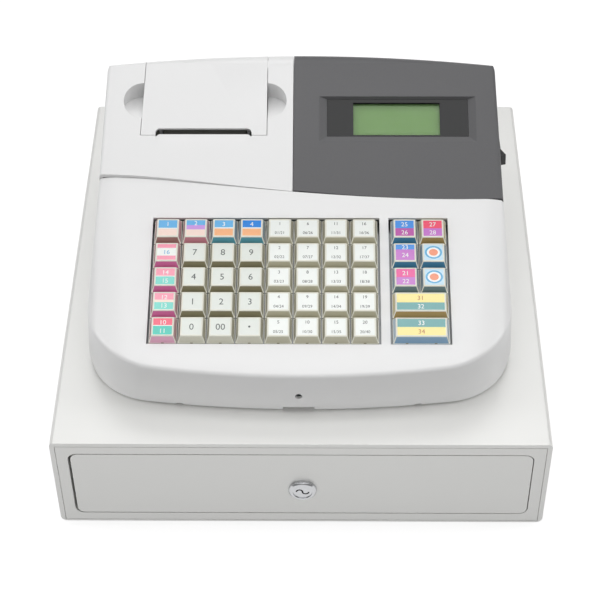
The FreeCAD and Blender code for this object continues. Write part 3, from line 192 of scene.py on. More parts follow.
class RegisterColours(bpy.types.PropertyGroup):
    """Colours of the finishes."""

    deck_white: colour("White case", 240, 240, 240)
    cabinet_white: colour("Cabinet paint", 225, 227, 219)
    housing_grey: colour("Grey housing", 93, 93, 95)
    lens_black: colour("Printed lens border", 26, 27, 28)
    display_green: colour("Display", 130, 178, 100)
    black: colour("Black plastic", 30, 30, 31)
    mechanism_grey: colour("Print mechanism", 160, 160, 152)
    roller_grey: colour("Roller rubber", 140, 140, 132)
    steel: colour("Zinc-plated steel", 176, 178, 180)
    chrome: colour("Chrome", 198, 199, 201)
    copper: colour("Winding", 150, 82, 44)
    paper: colour("Paper", 246, 246, 242)
    side_khaki: colour("Clear side over khaki", 186, 183, 164)
    side_rose: colour("Clear side over pink", 206, 166, 172)
    side_blue: colour("Clear side over blue", 150, 168, 180)
    side_gold: colour("Clear side over gold", 212, 202, 166)
    side_ice: colour("Clear side over pale blue", 196, 214, 228)
    # Partly the clear rim's own pale tone, partly a painted highlight on the rounded cap edges
    key_rim: colour("Clear cap edge with painted highlight", 236, 235, 222)
    label_white: colour("White label", 243, 247, 243)
    label_number: colour("Number label", 226, 231, 224)
    grey_ink: colour("Grey ink", 78, 85, 84)
    dark_ink: colour("Dark ink", 52, 56, 58)
    rust_ink: colour("Rust ink", 190, 116, 66)
    # The two khaki cores are lit and shaded copies of one tint: painted light on the front row's key fronts,
    # painted shade on the rows behind
    khaki: colour("Khaki core in painted shade", 148, 142, 112)
    mid_khaki: colour("Middle khaki core", 204, 200, 176)
    light_khaki: colour("Light khaki core", 224, 222, 204)
    rose: colour("Rose core", 246, 184, 212)
    magenta: colour("Magenta core", 228, 122, 180)
    brown: colour("Brown core", 174, 134, 126)
    mauve: colour("Mauve core", 220, 144, 162)
    sea: colour("Sea-green core", 94, 172, 194)
    deep_blue: colour("Blue core", 74, 140, 176)
    pale_blue: colour("Pale blue core", 134, 174, 206)
    gold: colour("Gold core", 190, 158, 96)
    slate: colour("Slate core", 112, 140, 150)
    band_pink: colour("Pink band", 250, 152, 176)
    band_cherry: colour("Cherry band", 246, 78, 112)
    band_teal: colour("Teal band", 34, 200, 182)
    band_mint: colour("Mint band", 112, 218, 204)
    band_sky: colour("Sky band", 104, 184, 238)
    band_lilac: colour("Lilac band", 206, 156, 232)
    band_peach: colour("Peach band", 252, 226, 214)
    band_blue: colour("Blue band", 0, 132, 228)
    band_royal: colour("Royal blue band", 66, 148, 234)
    band_orange: colour("Orange band", 255, 184, 132)
    band_violet: colour("Violet band", 202, 118, 208)
    band_purple: colour("Purple band", 192, 84, 172)
    band_fuchsia: colour("Fuchsia band", 240, 78, 158)
    band_yellow: colour("Yellow band", 255, 238, 150)
    band_sea: colour("Sea band", 95, 165, 165)
    ring_blue: colour("Ring", 92, 176, 222)
    ring_ground: colour("Ring ground", 196, 228, 246)
    ring_warm: colour("Warm dot", 246, 150, 112)


class RegisterStudio(bpy.types.PropertyGroup):
    """Light, floor and camera of the studio."""

    back_light: power("Back light", "Power of the lamp behind and above", 4.3)
    top_light: power("Top light", "Power of the lamp overhead", 4.8)
    side_light: power("Side lights", "Power of the lamp at each side", 4.5)
    front_light: power("Front light", "Power of the low lamp in front", 0.3)
    sky_light: bpy.props.FloatProperty(name="Room light", description="Strength of the room's even light",
                                       default=0.34, min=0)
    floor_glow: bpy.props.FloatProperty(name="Floor white", description="Share of its white without shadow",
                                        default=0.8, min=0, max=1, subtype="FACTOR")
    focal_length: bpy.props.FloatProperty(name="Focal length", description="Lens of the camera in mm",
                                          default=103.69, min=1)


class Field:
    """A value that varies over a surface; sums and products of fields become maths nodes."""

    def __init__(self, finish, socket):
        self.finish = finish
        self.socket = socket

    def maths(self, operation, *values):
        made = self.finish.node("ShaderNodeMath", {"operation": operation}, dict(enumerate(values)))
        return Field(self.finish, made.outputs[0])

    def __add__(self, other):
        return self.maths("ADD", self, other)

    def __mul__(self, other):
        return self.maths("MULTIPLY", self, other)

    def __sub__(self, other):
        return self.maths("SUBTRACT", self, other)

    def __rsub__(self, other):
        return self.maths("SUBTRACT", other, self)

    __radd__ = __add__
    __rmul__ = __mul__

    def over(self, level):
        return self.maths("GREATER_THAN", self, level)

    def under(self, level):
        return self.maths("LESS_THAN", self, level)

    def power(self, exponent):
        return self.maths("POWER", self, exponent)

    def sine(self):
        return self.maths("SINE", self)

    def at_least(self, level):
        return self.maths("MAXIMUM", self, level)


class Finish:
    """One material or the room's light, with one method that adds any node to it."""

    def __init__(self, name, holders=None):
        self.material = (bpy.data.materials if holders is None else holders).new(name)
        self.material.use_nodes = True
        self.tree = self.material.node_tree
        self.tree.nodes.clear()
        if holders is None:
            self.place = self.node("ShaderNodeTexCoord").outputs["Object"]

    def node(self, kind, settings=None, values=None):
        made = self.tree.nodes.new(kind)
        for key, value in (settings or {}).items():
            if key == "stops":
                self.set_stops(made.color_ramp, value)
            else:
                setattr(made, key, value)
        for key, value in (values or {}).items():
            value = value.socket if isinstance(value, Field) else value
            if isinstance(value, bpy.types.NodeSocket):
                self.tree.links.new(value, made.inputs[key])
            else:
                made.inputs[key].default_value = value
        return made

    @staticmethod
    def set_stops(ramp, stops):
        while len(ramp.elements) < len(stops):
            ramp.elements.new(0.5)
        for element, (position, tint) in zip(ramp.elements, stops):
            element.position = position
            element.color = (*tint, 1)

    def noise(self, scale, detail, stretch=None):
        """Soft noise from 0 to 1, with features about one over the scale in metres."""
        source = self.place
        if stretch:
            source = self.node("ShaderNodeMapping", None, {"Vector": source, "Scale": stretch}).outputs[0]
        made = self.node("ShaderNodeTexNoise", None, {"Vector": source, "Scale": scale, "Detail": detail})
        return Field(self, made.outputs["Fac"])

    def axis(self, number, matrix=None):
        """One coordinate of the place, in metres; a matrix takes the place into its own frame first."""
        source = self.place
        if matrix:
            back = matrix.inverted()
            turned = self.node("ShaderNodeMapping", {"vector_type": "POINT"},
                               {"Vector": source, "Location": back.translation, "Rotation": back.to_euler()})
            source = turned.outputs[0]
        split = self.node("ShaderNodeSeparateXYZ", None, {0: source})
        return Field(self, split.outputs[number])

    def mix(self, share, first, second):
        """From the first colour to the second as the share goes from 0 to 1."""
        made = self.node("ShaderNodeMix", {"data_type": "RGBA", "clamp_factor": True},
                         {"Factor": share, 6: self.tint(first), 7: self.tint(second)})
        return made.outputs[2]

    @staticmethod
    def tint(value):
        return value if isinstance(value, (bpy.types.NodeSocket, Field)) or len(value) == 4 else (*value, 1)

    def shaded(self, base, low, high, amount):
        """The base colour made darker and lighter in patches by a field from 0 to 1."""
        light = tuple(min(channel * high, 1) for channel in base)
        return self.mix(amount, dimmed(base, low), light)

    def bump(self, height, strength, distance):
        return self.node("ShaderNodeBump", None, {"Height": height, "Strength": strength,
                                                  "Distance": distance}).outputs[0]

    def surface(self, **values):
        """Ends the material in its shader; the names are the shader's sockets with low lines for spaces."""
        named = {key.replace("_", " "): value for key, value in values.items()}
        if "Base Color" in named:
            named["Base Color"] = self.tint(named["Base Color"])
        shader = self.node("ShaderNodeBsdfPrincipled", None, named)
        self.node("ShaderNodeOutputMaterial", None, {"Surface": shader.outputs[0]})
        return self.material


def moulded(name, base, rough=0.38, grain=2600, depth=0.02, coat=0.0):
    """Injection-moulded plastic: fine spark texture, faint flow marks and a little uneven gloss."""
    finish = Finish(name)
    flow = finish.noise(14, 3)
    speck = finish.noise(grain, 2)
    tone = finish.shaded(base, 0.975, 1.02, flow * 0.7 + speck * 0.3)
    gloss = flow * 0.06 + speck * 0.05 + (rough - 0.055)
    return finish.surface(Base_Color=tone, Roughness=gloss, Normal=finish.bump(speck, 0.25, depth * MM),
                          Coat_Weight=coat, Coat_Roughness=0.2)


def speckled(name, base):
    """Grey metallic plastic: fine light and dark specks in a satin surface."""
    finish = Finish(name)
    speck = finish.noise(1500, 3)
    flow = finish.noise(12, 3)
    tone = finish.shaded(base, 0.86, 1.16, speck * 0.75 + flow * 0.25)
    return finish.surface(Base_Color=tone, Roughness=speck * 0.1 + 0.4, Metallic=0.0,
                          Normal=finish.bump(speck, 0.2, 0.03 * MM))


def painted(name, base):
    """Powder-painted sheet steel: orange peel about a millimetre across and a few pin-head specks."""
    finish = Finish(name)
    peel = finish.noise(750, 3)
    cloud = finish.noise(9, 2)
    speck = finish.noise(5200, 1).over(0.74)
    tone = finish.mix(speck * 0.25, finish.shaded(base, 0.97, 1.02, cloud), dimmed(base, 0.8))
    gloss = peel * 0.12 + 0.36
    return finish.surface(Base_Color=tone, Roughness=gloss, Normal=finish.bump(peel, 0.3, 0.05 * MM))


def plated(name, base, rough=0.3, along=(1, 14, 14)):
    """Plated or brushed metal with fine drawn lines and faint clouding."""
    finish = Finish(name)
    drawn = finish.noise(220, 4, stretch=along)
    cloud = finish.noise(30, 2)
    tone = finish.shaded(base, 0.86, 1.08, drawn * 0.5 + cloud * 0.5)
    gloss = drawn * 0.14 + cloud * 0.08 + (rough - 0.11)
    return finish.surface(Base_Color=tone, Metallic=1.0, Roughness=gloss,
                          Normal=finish.bump(drawn, 0.15, 0.02 * MM))


def lock_core_finish(name, base):
    """Plated lock core, with painted shade inside its keyway: near black and not metallic."""
    finish = Finish(name)
    across = finish.axis(0) - LOCK_X
    high = finish.axis(2) - LOCK_Z
    deep = finish.axis(1)
    middle = (across * across + high * high).under(KEYWAY_REACH ** 2)
    # Painted shade: the keyway's inside is near black and not metallic
    inside = middle * deep.over(KEYWAY_FRONT) * deep.under(KEYWAY_BACK)
    drawn = finish.noise(400, 3)
    tone = finish.mix(inside, finish.shaded(base, 0.88, 1.06, drawn), (0.01, 0.01, 0.01))
    return finish.surface(Base_Color=tone, Metallic=1 - inside, Roughness=drawn * 0.1 + 0.2,
                          Normal=finish.bump(drawn, 0.1, 0.01 * MM))


def rubbery(name, base):
    """Dull rubber with a fine grain."""
    finish = Finish(name)
    grain = finish.noise(1800, 3)
    tone = finish.shaded(base, 0.85, 1.2, grain)
    return finish.surface(Base_Color=tone, Roughness=grain * 0.1 + 0.72,
                          Normal=finish.bump(grain, 0.4, 0.05 * MM))


def rolled_paper(name, base):
    """Receipt roll: fibres outside, and the fine rings of its turns on both ends."""
    finish = Finish(name)
    across = finish.axis(1) - ROLL_Y
    high = finish.axis(2) - ROLL_Z
    radius = (across * across + high * high).power(0.5)
    turns = (radius * 14000).sine() * 0.5 + 0.5
    fibre = finish.noise(3000, 4)
    tone = finish.shaded(base, 0.93, 1.0, turns * 0.5 + fibre * 0.5)
    return finish.surface(Base_Color=tone, Roughness=fibre * 0.1 + 0.75,
                          Normal=finish.bump(fibre, 0.3, 0.03 * MM))


def under_cap(finish, tone, cloud, **more):
    """Ends a label's material with the gloss of the clear cap over the print."""
    return finish.surface(Base_Color=tone, Roughness=cloud * 0.06 + 0.16, Coat_Weight=0.4,
                          Coat_Roughness=0.06, **more)


def label_finish(name, base):
    """Printed label under a clear cap."""
    finish = Finish(name)
    cloud = finish.noise(320, 2)
    dots = finish.noise(6000, 1)
    tone = finish.shaded(base, 0.955, 1.03, cloud * 0.6 + dots * 0.4)
    return under_cap(finish, tone, cloud, Normal=finish.bump(cloud, 0.08, 0.03 * MM))


def lens_finish(name, border):
    """Clear lens with a black border printed on its back, open over the display glass."""
    finish = Finish(name)
    across = finish.axis(0)
    along = finish.axis(1, SLOPE)
    opening = across.over(GLASS_LEFT) * across.under(GLASS_RIGHT)
    opening = opening * along.over(GLASS_FRONT) * along.under(GLASS_BACK)
    smear = finish.noise(60, 3)
    tone = finish.shaded(border, 0.85, 1.15, smear)
    return finish.surface(Base_Color=tone, Roughness=smear * 0.06 + 0.12, Alpha=1 - opening * 0.92, IOR=1.3)


def display_finish(name, base):
    """Liquid-crystal glass: green, with painted shade at its upper edge where the recess shadows it, and
    faint rows of cells on a dark board.
    """
    finish = Finish(name)
    along = finish.axis(1, SLOPE)
    height = finish.axis(2, SLOPE)
    # Painted shade: the glass turns darker towards its upper edge, where the recess shadows it
    painted_upper_shade = (along - GLASS_PAINTED_SHADE) * 160
    cells = (along * 1600).sine().at_least(0.9)
    tone = finish.mix(painted_upper_shade, finish.shaded(base, 0.95, 1.03, finish.noise(50, 2)), dimmed(base, 0.66))
    tone = finish.mix((cells - 0.9) * 0.6, tone, dimmed(base, 0.8))
    board = finish.mix(finish.noise(400, 2), (0.02, 0.07, 0.04), (0.03, 0.1, 0.06))
    whole = finish.mix(height.over(GLASS_LEVEL), board, tone)
    return finish.surface(Base_Color=whole, Roughness=0.25)


def switch_plate_finish(name, steel, black):
    """Zinc-plated plate with black switch bodies standing on it."""
    finish = Finish(name)
    body = finish.axis(2, DECK).over(PLATE_TOP)
    drawn = finish.noise(260, 4, stretch=(1, 12, 12))
    tone = finish.mix(body, finish.shaded(steel, 0.85, 1.08, drawn), black)
    return finish.surface(Base_Color=tone, Metallic=1 - body, Roughness=drawn * 0.15 + 0.26,
                          Normal=finish.bump(drawn, 0.12, 0.02 * MM))


def winding_finish(name, copper, steel):
    """Release magnet: copper winding between the cheeks, plated post beside it."""
    finish = Finish(name)
    pitch = bpy.context.scene.register_sizes.coil_wire
    along = finish.axis(1)
    across = finish.axis(0)
    winding = across.over(WINDING_LEFT) * along.over(WINDING_FRONT) * along.under(WINDING_BACK)
    wires = (along * (2 * math.pi / pitch)).sine() * 0.5 + 0.5
    drawn = finish.noise(300, 3)
    post = finish.shaded(steel, 0.85, 1.08, drawn)
    tone = finish.mix(winding, post, finish.shaded(copper, 0.55, 1.1, wires))
    return finish.surface(Base_Color=tone, Metallic=1.0, Roughness=drawn * 0.12 + 0.24,
                          Normal=finish.bump(wires * winding, 0.8, 0.2 * MM))


def ring_label_finish(name, ring, ground, dot):
    """Generic sign: an oval ring round a warm dot on a pale ground, drawn in the label's own map."""
    finish = Finish(name)
    mapped = finish.node("ShaderNodeUVMap", {"uv_map": "label"}).outputs[0]
    split = finish.node("ShaderNodeSeparateXYZ", None, {0: mapped})
    across = Field(finish, split.outputs[0]) - 0.5
    along = (Field(finish, split.outputs[1]) - 0.5) * 1.12
    radius = (across * across + along * along).power(0.5)
    inside = radius.under(0.46) * radius.over(0.35)
    middle = radius.under(0.35)
    warm = radius.under(0.24)
    tone = finish.mix(inside, finish.mix(middle, ground, (0.95, 0.95, 0.93)), ring)
    return under_cap(finish, finish.mix(warm, tone, dot), finish.noise(320, 2))


def shade_of(name):
    return tuple(getattr(bpy.context.scene.register_colours, name))


def finish_of(name):
    """The material of that name, made the first time that a piece asks for it."""
    if name in bpy.data.materials:
        return bpy.data.materials[name]
    if name in MAKERS:
        return MAKERS[name](name)
    if name.endswith("_ink"):
        return moulded(name, shade_of(name), 0.4)
    if name.startswith("side_"):
        return moulded(name, shade_of(name), 0.22, 900, 0.02, coat=0.5)
    return label_finish(name, shade_of(name))


MAKERS = {
    "white_case": lambda name: moulded(name, shade_of("deck_white"), 0.34, coat=0.15),
    "cabinet_paint": lambda name: painted(name, shade_of("cabinet_white")),
    "grey_case": lambda name: speckled(name, shade_of("housing_grey")),
    "grey_mechanism": lambda name: moulded(name, shade_of("mechanism_grey"), 0.5),
    "black_case": lambda name: moulded(name, shade_of("black"), 0.42),
    "black_tray": lambda name: moulded(name, shade_of("black"), 0.5, 1500, 0.05),
    "clear_lens": lambda name: lens_finish(name, shade_of("lens_black")),
    "display_glass": lambda name: display_finish(name, shade_of("display_green")),
    "zinc_steel": lambda name: plated(name, shade_of("steel"), 0.34),
    "chrome_ring": lambda name: plated(name, shade_of("chrome"), 0.16, (6, 6, 6)),
    "lock_core": lambda name: lock_core_finish(name, shade_of("chrome")),
    "roller_rubber": lambda name: rubbery(name, shade_of("roller_grey")),
    "foot_rubber": lambda name: rubbery(name, shade_of("black")),
    "receipt_paper": lambda name: rolled_paper(name, shade_of("paper")),
    "switch_plate": lambda name: switch_plate_finish(name, shade_of("steel"), shade_of("black")),
    "magnet_coil": lambda name: winding_finish(name, shade_of("copper"), shade_of("steel")),
    "key_rim": lambda name: moulded(name, shade_of("key_rim"), 0.16, 900, 0.01, coat=0.7),
    "label_ring": lambda name: ring_label_finish(name, shade_of("ring_blue"), shade_of("ring_ground"),
                                                 shade_of("ring_warm")),
}

NODE_FINISHES = {
    "white_case": ("upper_case", "lower_case", "printer_housing", "printer_cover"),
    "cabinet_paint": ("cabinet_cover", "cabinet_base", "front_frame", "drawer_front"),
    "grey_case": ("display_housing",),
    "black_case": ("power_switch_case", "power_rocker", "power_jack"),
    "grey_mechanism": ("print_mechanism",),
    "black_tray": ("cash_tray", "bill_clips"),
    "clear_lens": ("display_window",),
    "display_glass": ("lcd_module",),
    "zinc_steel": ("drawer_box", "cabinet_rails", "latch_lever"),
    "chrome_ring": ("lock_housing",),
    "lock_core": ("lock_plug",),
    "roller_rubber": ("platen_roller",),
    "foot_rubber": ("cabinet_feet",),
    "receipt_paper": ("paper_roll",),
    "switch_plate": ("key_switch_plate",),
    "magnet_coil": ("release_solenoid",),
}


def finish_nodes(*finishes):
    """Gives the carried-over nodes of these finishes their material."""
    for name in finishes:
        for node in NODE_FINISHES[name]:
            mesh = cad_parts[node].data
            mesh.materials.clear()
            mesh.materials.append(finish_of(name))


def piece(name, mesh, finishes, body, slot, *replaced):
    """Makes an object of a finished mesh, at the origin, and lets it ride on its body."""
    data = bpy.data.meshes.new(name)
    mesh.to_mesh(data)
    mesh.free()
    for finish in finishes:
        data.materials.append(finish_of(finish))
    made = bpy.data.objects.new(name, data)
    bpy.context.scene.collection.objects.link(made)
    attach(made, body)
    if replaced:
        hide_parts(*replaced)
    return made


def merged(mesh):
    """The same mesh with its doubles merged and all its faces outwards."""
    bmesh.ops.remove_doubles(mesh, verts=mesh.verts, dist=MERGE)
    bmesh.ops.recalc_face_normals(mesh, faces=mesh.faces)
    return mesh


def smooth(made, angle):
    """Shades a piece smoothly, apart from edges sharper than the angle in degrees."""
    limit = math.radians(angle)
    mesh = bmesh.new()
    mesh.from_mesh(made.data)
    for face in mesh.faces:
        face.smooth = True
    for edge in mesh.edges:
        edge.smooth = len(edge.link_faces) == 2 and edge.calc_face_angle(math.pi) < limit
    mesh.to_mesh(made.data)
    mesh.free()
    return made


def shell_copy(name, node, finish, slot, body):
    """A merged, smoothly shaded copy of a housing's own mesh, in its place."""
    mesh = bmesh.new()
    mesh.from_mesh(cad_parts[node].data)
    bmesh.ops.remove_doubles(mesh, verts=mesh.verts, dist=MERGE)
    for face in mesh.faces:
        face.material_index = 0
    return smooth(piece(name, mesh, [finish], body, slot, node), 22)


CORE_SIDES = {
    "khaki": "side_khaki", "mid_khaki": "side_khaki", "light_khaki": "side_khaki",
    "rose": "side_rose", "magenta": "side_rose", "brown": "side_rose", "mauve": "side_rose",
    "sea": "side_blue", "deep_blue": "side_blue", "slate": "side_blue",
    "pale_blue": "side_ice", "gold": "side_gold",
}


class KeyMaker:
    """Builds the caps of one node in the deck's frame, one mesh with a material for each part."""

    def __init__(self, core):
        self.sizes = bpy.context.scene.register_sizes
        self.mesh = bmesh.new()
        self.map = self.mesh.loops.layers.uv.new("label")
        self.core = core
        self.finishes = [CORE_SIDES[core], "key_rim"]

    def slot_of(self, name):
        if name not in self.finishes:
            self.finishes.append(name)
        return self.finishes.index(name)

    def block(self, low, high):
        """A block between two corners, as its vertices."""
        made = bmesh.ops.create_cube(self.mesh, size=1)["verts"]
        size = high - low
        bmesh.ops.scale(self.mesh, verts=made, vec=size)
        bmesh.ops.translate(self.mesh, verts=made, vec=(low + high) / 2)
        return made

    def cap(self, x, u, bands, extra=0.0):
        """One cap: upright foot with its ledge, tapered sides, clear edges lightened by a painted highlight,
        and a label in bands.
        """
        s = self.sizes
        foot_x = (s.key_base + extra) / 2
        foot_u = s.key_base / 2
        shoulder = s.key_collar - s.key_skirt
        low = Vector((x - foot_x, u - foot_u, -s.key_skirt))
        foot = self.block(low, Vector((x + foot_x, u + foot_u, shoulder)))
        lid = max({f for v in foot for f in v.link_faces}, key=lambda f: f.calc_center_median().z)
        ledge = bmesh.ops.inset_individual(self.mesh, faces=[lid], thickness=s.key_ledge, depth=0)
        for face in ledge["faces"]:
            face.material_index = 1
        raised = bmesh.ops.extrude_face_region(self.mesh, geom=[lid])["geom"]
        corners = [item for item in raised if isinstance(item, bmesh.types.BMVert)]
        middle = Matrix.Translation((-x, -u, 0))
        wide = s.key_base - 2 * s.key_ledge
        taper = ((s.key_top_width + extra) / (wide + extra), s.key_top_length / wide, 1)
        bmesh.ops.scale(self.mesh, verts=corners, vec=taper, space=middle)
        bmesh.ops.translate(self.mesh, verts=corners, vec=(0, s.key_top_shift, s.key_height - shoulder))
        faces = {f for v in corners for f in v.link_faces}
        edges = {e for f in faces for e in f.edges if max(v.co.z for v in e.verts) > shoulder + MM}
        rounded = bmesh.ops.bevel(self.mesh, geom=list(edges), offset=s.key_round, segments=3, profile=0.5,
                                  affect="EDGES", material=-1)
        # The rounded edges take the rim's colour, which carries a painted highlight
        for face in rounded["faces"]:
            face.material_index = 1
            face.smooth = True
        own = [f for f in self.mesh.faces if self.over_key(f, x, u, foot_x, foot_u)]
        level = [f for f in own if f.normal.z > LEVEL and f.calc_center_median().z > MM]
        sloping = [f for f in own if f.normal.z > SLOPING]
        front = min(sloping, key=lambda f: f.normal.y * f.calc_area())
        top = max(level, key=lambda f: f.calc_area())
        front.material_index = self.slot_of(self.core)
        self.label(top, bands)
        for shift in ((-extra / 2, extra / 2) if extra else (0,)):
            self.catch(x + shift, u - foot_u)
            half = s.stem_width / 2
            self.block(Vector((x + shift - half, u - half, -s.stem_foot)),
                       Vector((x + shift + half, u + half, -s.key_skirt - STEM_GAP)))

    @staticmethod
    def over_key(face, x, u, foot_x, foot_u):
        middle = face.calc_center_median()
        return abs(middle.x - x) <= foot_x and abs(middle.y - u) <= foot_u

    def label(self, top, bands):
        """Sinks the label below its clear rim and divides it into coloured bands."""
        s = self.sizes
        ring = bmesh.ops.inset_individual(self.mesh, faces=[top], thickness=s.key_frame, depth=-s.key_sink)
        for face in ring["faces"]:
            face.material_index = 1
        xs = [v.co.x for v in top.verts]
        us = [v.co.y for v in top.verts]
        wide = max(xs) - min(xs)
        deep = max(us) - min(us)
        for loop in top.loops:
            spot = loop.vert.co
            loop[self.map].uv = ((spot.x - min(xs)) / wide, (spot.y - min(us)) / deep)
        back = max(us)
        height = top.verts[0].co.z
        pieces = [top]
        share = 0
        marks = []
        for width, name in bands:
            share += width
            marks.append((back - share * deep, name))
        for level, _ in marks[:-1]:
            geometry = set(pieces)
            for face in pieces:
                geometry.update(face.edges, face.verts)
            bmesh.ops.bisect_plane(self.mesh, geom=list(geometry), dist=CUT_NEAR, plane_co=(0, level, height),
                                   plane_no=(0, 1, 0))
            pieces = [f for f in self.mesh.faces if f.normal.z > LEVEL and self.within(f, xs, us, height)]
        for face in pieces:
            middle = face.calc_center_median().y
            name = next(name for level, name in marks if middle > level - CUT_NEAR)
            face.material_index = self.slot_of(name)

    @staticmethod
    def within(face, xs, us, height):
        middle = face.calc_center_median()
        return abs(middle.z - height) < NEAR and min(xs) < middle.x < max(xs) and min(us) < middle.y < max(us)

    def catch(self, x, front):
        """Catch of the clear cap: a thin block in painted shade, in place of the small gap in the front of
        its foot.
        """
        low = Vector((x - CATCH_SIZE[0] / 2, front - CATCH_PROUD, CATCH_LOW))
        made = self.block(low, low + Vector(CATCH_SIZE))
        for face in {f for v in made for f in v.link_faces}:
            face.material_index = self.slot_of("khaki")

    def digits(self, text, size, x, u, ink="grey_ink"):
        """Plain digits as a mesh, laid on a label with their middle over this place of the key's foot."""
        s = self.sizes
        curve = bpy.data.curves.new("digits", "FONT")
        curve.body = text
        curve.size = size / DIGIT_SHARE
        curve.extrude = PRINT_THICKNESS
        curve.resolution_u = 3
        curve.align_x = "CENTER"
        holder = bpy.data.objects.new("digits", curve)
        bpy.context.scene.collection.objects.link(holder)
        bpy.context.view_layer.update()
        shape = bpy.data.meshes.new_from_object(holder.evaluated_get(bpy.context.evaluated_depsgraph_get()))
        bpy.data.objects.remove(holder)
        height = s.key_height - s.key_sink + PRINT_RISE
        shape.transform(Matrix.Translation((x, u + s.key_top_shift - size / 2, height)))
        known = len(self.mesh.faces)
        self.mesh.from_mesh(shape)
        self.mesh.faces.ensure_lookup_table()
        for face in self.mesh.faces[known:]:
            face.material_index = self.slot_of(ink)
        bpy.data.meshes.remove(shape)
        bpy.data.curves.remove(curve)

    def dot(self, x, u):
        """Round decimal point, as a thin disc on the label."""
        s = self.sizes
        made = bmesh.ops.create_cone(self.mesh, cap_ends=True, segments=POINT_SEGMENTS, radius1=POINT_RADIUS,
                                     radius2=POINT_RADIUS, depth=2 * PRINT_THICKNESS)["verts"]
        bmesh.ops.translate(self.mesh, verts=made, vec=(x, u + s.key_top_shift, s.key_height - s.key_sink))
        for face in {f for v in made for f in v.link_faces}:
            face.material_index = self.slot_of("grey_ink")

    def done(self, name, slot, node):
        bmesh.ops.transform(self.mesh, matrix=DECK, verts=self.mesh.verts)
        piece(name, merged(self.mesh), self.finishes, "press_" + node, slot, node)


def place_of(column, row, first=LEFT_KEY):
    return first + column * PITCH, FRONT_KEY + row * PITCH


NUMBER_KEYS = {
    "key_0": (1, 0, "0"), "key_00": (2, 0, "00"), "key_point": (3, 0, "."),
    "key_1": (1, 1, "1"), "key_2": (2, 1, "2"), "key_3": (3, 1, "3"),
    "key_4": (1, 2, "4"), "key_5": (2, 2, "5"), "key_6": (3, 2, "6"),
    "key_7": (1, 3, "7"), "key_8": (2, 3, "8"), "key_9": (3, 3, "9"),
}

FUNCTION_KEYS = {
    "key_clear": (0, 0, "rose", ((0.42, "band_cherry"), (0.05, "label_white"), (0.53, "band_teal")),
                  (("10", 3.2), ("11", -3.2))),
    "key_function_1": (0, 1, "magenta", ((0.4, "band_pink"), (0.16, "band_peach"), (0.44, "band_mint")),
                       (("12", 3.2), ("13", -3.2))),
    "key_function_2": (0, 2, "magenta", ((0.46, "band_pink"), (0.05, "label_white"), (0.49, "band_mint")),
                       (("14", 3.2), ("15", -3.2))),
    "key_function_3": (0, 3, "magenta", ((0.24, "band_pink"), (0.5, "label_white"), (0.26, "band_pink")),
                       (("16", 0),)),
    "key_top_1": (0, 4, "brown", ((0.5, "band_sky"), (0.06, "label_white"), (0.44, "band_peach")),
                  (("1", 3.2),)),
    "key_top_2": (1, 4, "mauve", ((0.32, "band_sky"), (0.28, "band_lilac"), (0.4, "band_peach")),
                  (("2", 3.8),)),
    "key_top_3": (2, 4, "sea", ((0.46, "band_sky"), (0.08, "label_white"), (0.46, "band_orange")),
                  (("3", 3.2),)),
    "key_top_4": (3, 4, "sea", ((0.46, "band_blue"), (0.08, "label_white"), (0.46, "band_orange")),
                  (("4", 3.2),)),
}

PAD_KEYS = {
    "key_pad_left_1": (0, 2, "slate", ((0.52, "band_fuchsia"), (0.48, "band_violet")),
                       (("21", 3.0), ("22", -3.2))),
    "key_pad_left_2": (0, 3, "deep_blue", ((0.32, "band_royal"), (0.68, "band_violet")),
                       (("23", 4.1), ("24", -2.0))),
    "key_pad_left_3": (0, 4, "deep_blue", ((0.5, "band_royal"), (0.5, "band_purple")),
                       (("25", 3.2), ("26", -3.2))),
    "key_pad_right_1": (1, 2, "slate", ((1.0, "label_ring"),), ()),
    "key_pad_right_2": (1, 3, "deep_blue", ((1.0, "label_ring"),), ()),
    "key_pad_right_3": (1, 4, "gold", ((0.5, "band_cherry"), (0.5, "band_violet")),
                        (("27", 3.2), ("28", -3.2))),
}

WIDE_KEYS = {
    "key_subtotal": (1, "gold", ((0.54, "band_yellow"), (0.46, "band_sea")), (("31", 3.0, "rust_ink"),
                                                                             ("32", -3.4, "label_white"))),
    "key_total": (0, "pale_blue", ((0.5, "band_sea"), (0.5, "band_yellow")), (("33", 3.2, "label_white"),
                                                                              ("34", -3.2, "rust_ink"))),
}


class NumberKeys(bpy.types.Operator):
    """Twelve number keys with their digits"""

    bl_idname = "register.number_keys"
    bl_label = "Number keys"

    def execute(self, context):
        for node, (column, row, text) in NUMBER_KEYS.items():
            # Painted light and shade: the front row's key fronts take the lighter khaki, the rows behind,
            # shaded by the keys in front, the darker khaki
            maker = KeyMaker("light_khaki" if row == 0 else "khaki")
            x, u = place_of(column, row)
            maker.cap(x, u, ((1.0, "label_number"),))
            if text == ".":
                maker.dot(x, u)
            else:
                maker.digits(text, maker.sizes.digit, x, u)
            maker.done("cap_" + node, "key_pale", node)
        return {"FINISHED"}


class DepartmentKeys(bpy.types.Operator):
    """Four columns of department keys with plain numbers"""

    bl_idname = "register.department_keys"
    bl_label = "Department keys"

    def execute(self, context):
        for column in range(4):
            maker = KeyMaker("mid_khaki")
            small = maker.sizes.small_digit
            for row in range(5):
                x, u = place_of(column + 4, row)
                maker.cap(x, u, ((1.0, "label_white"),))
                number = column * 5 + 5 - row
                maker.digits(str(number), small * 1.1, x, u + DEPARTMENT_SHIFT, "dark_ink")
                maker.digits(f"{number:02d}/{number + 20:02d}", small, x, u - DEPARTMENT_SHIFT, "dark_ink")
            maker.done(f"caps_department_{column + 1}", "key_pale", f"keys_department_{column + 1}")
        return {"FINISHED"}


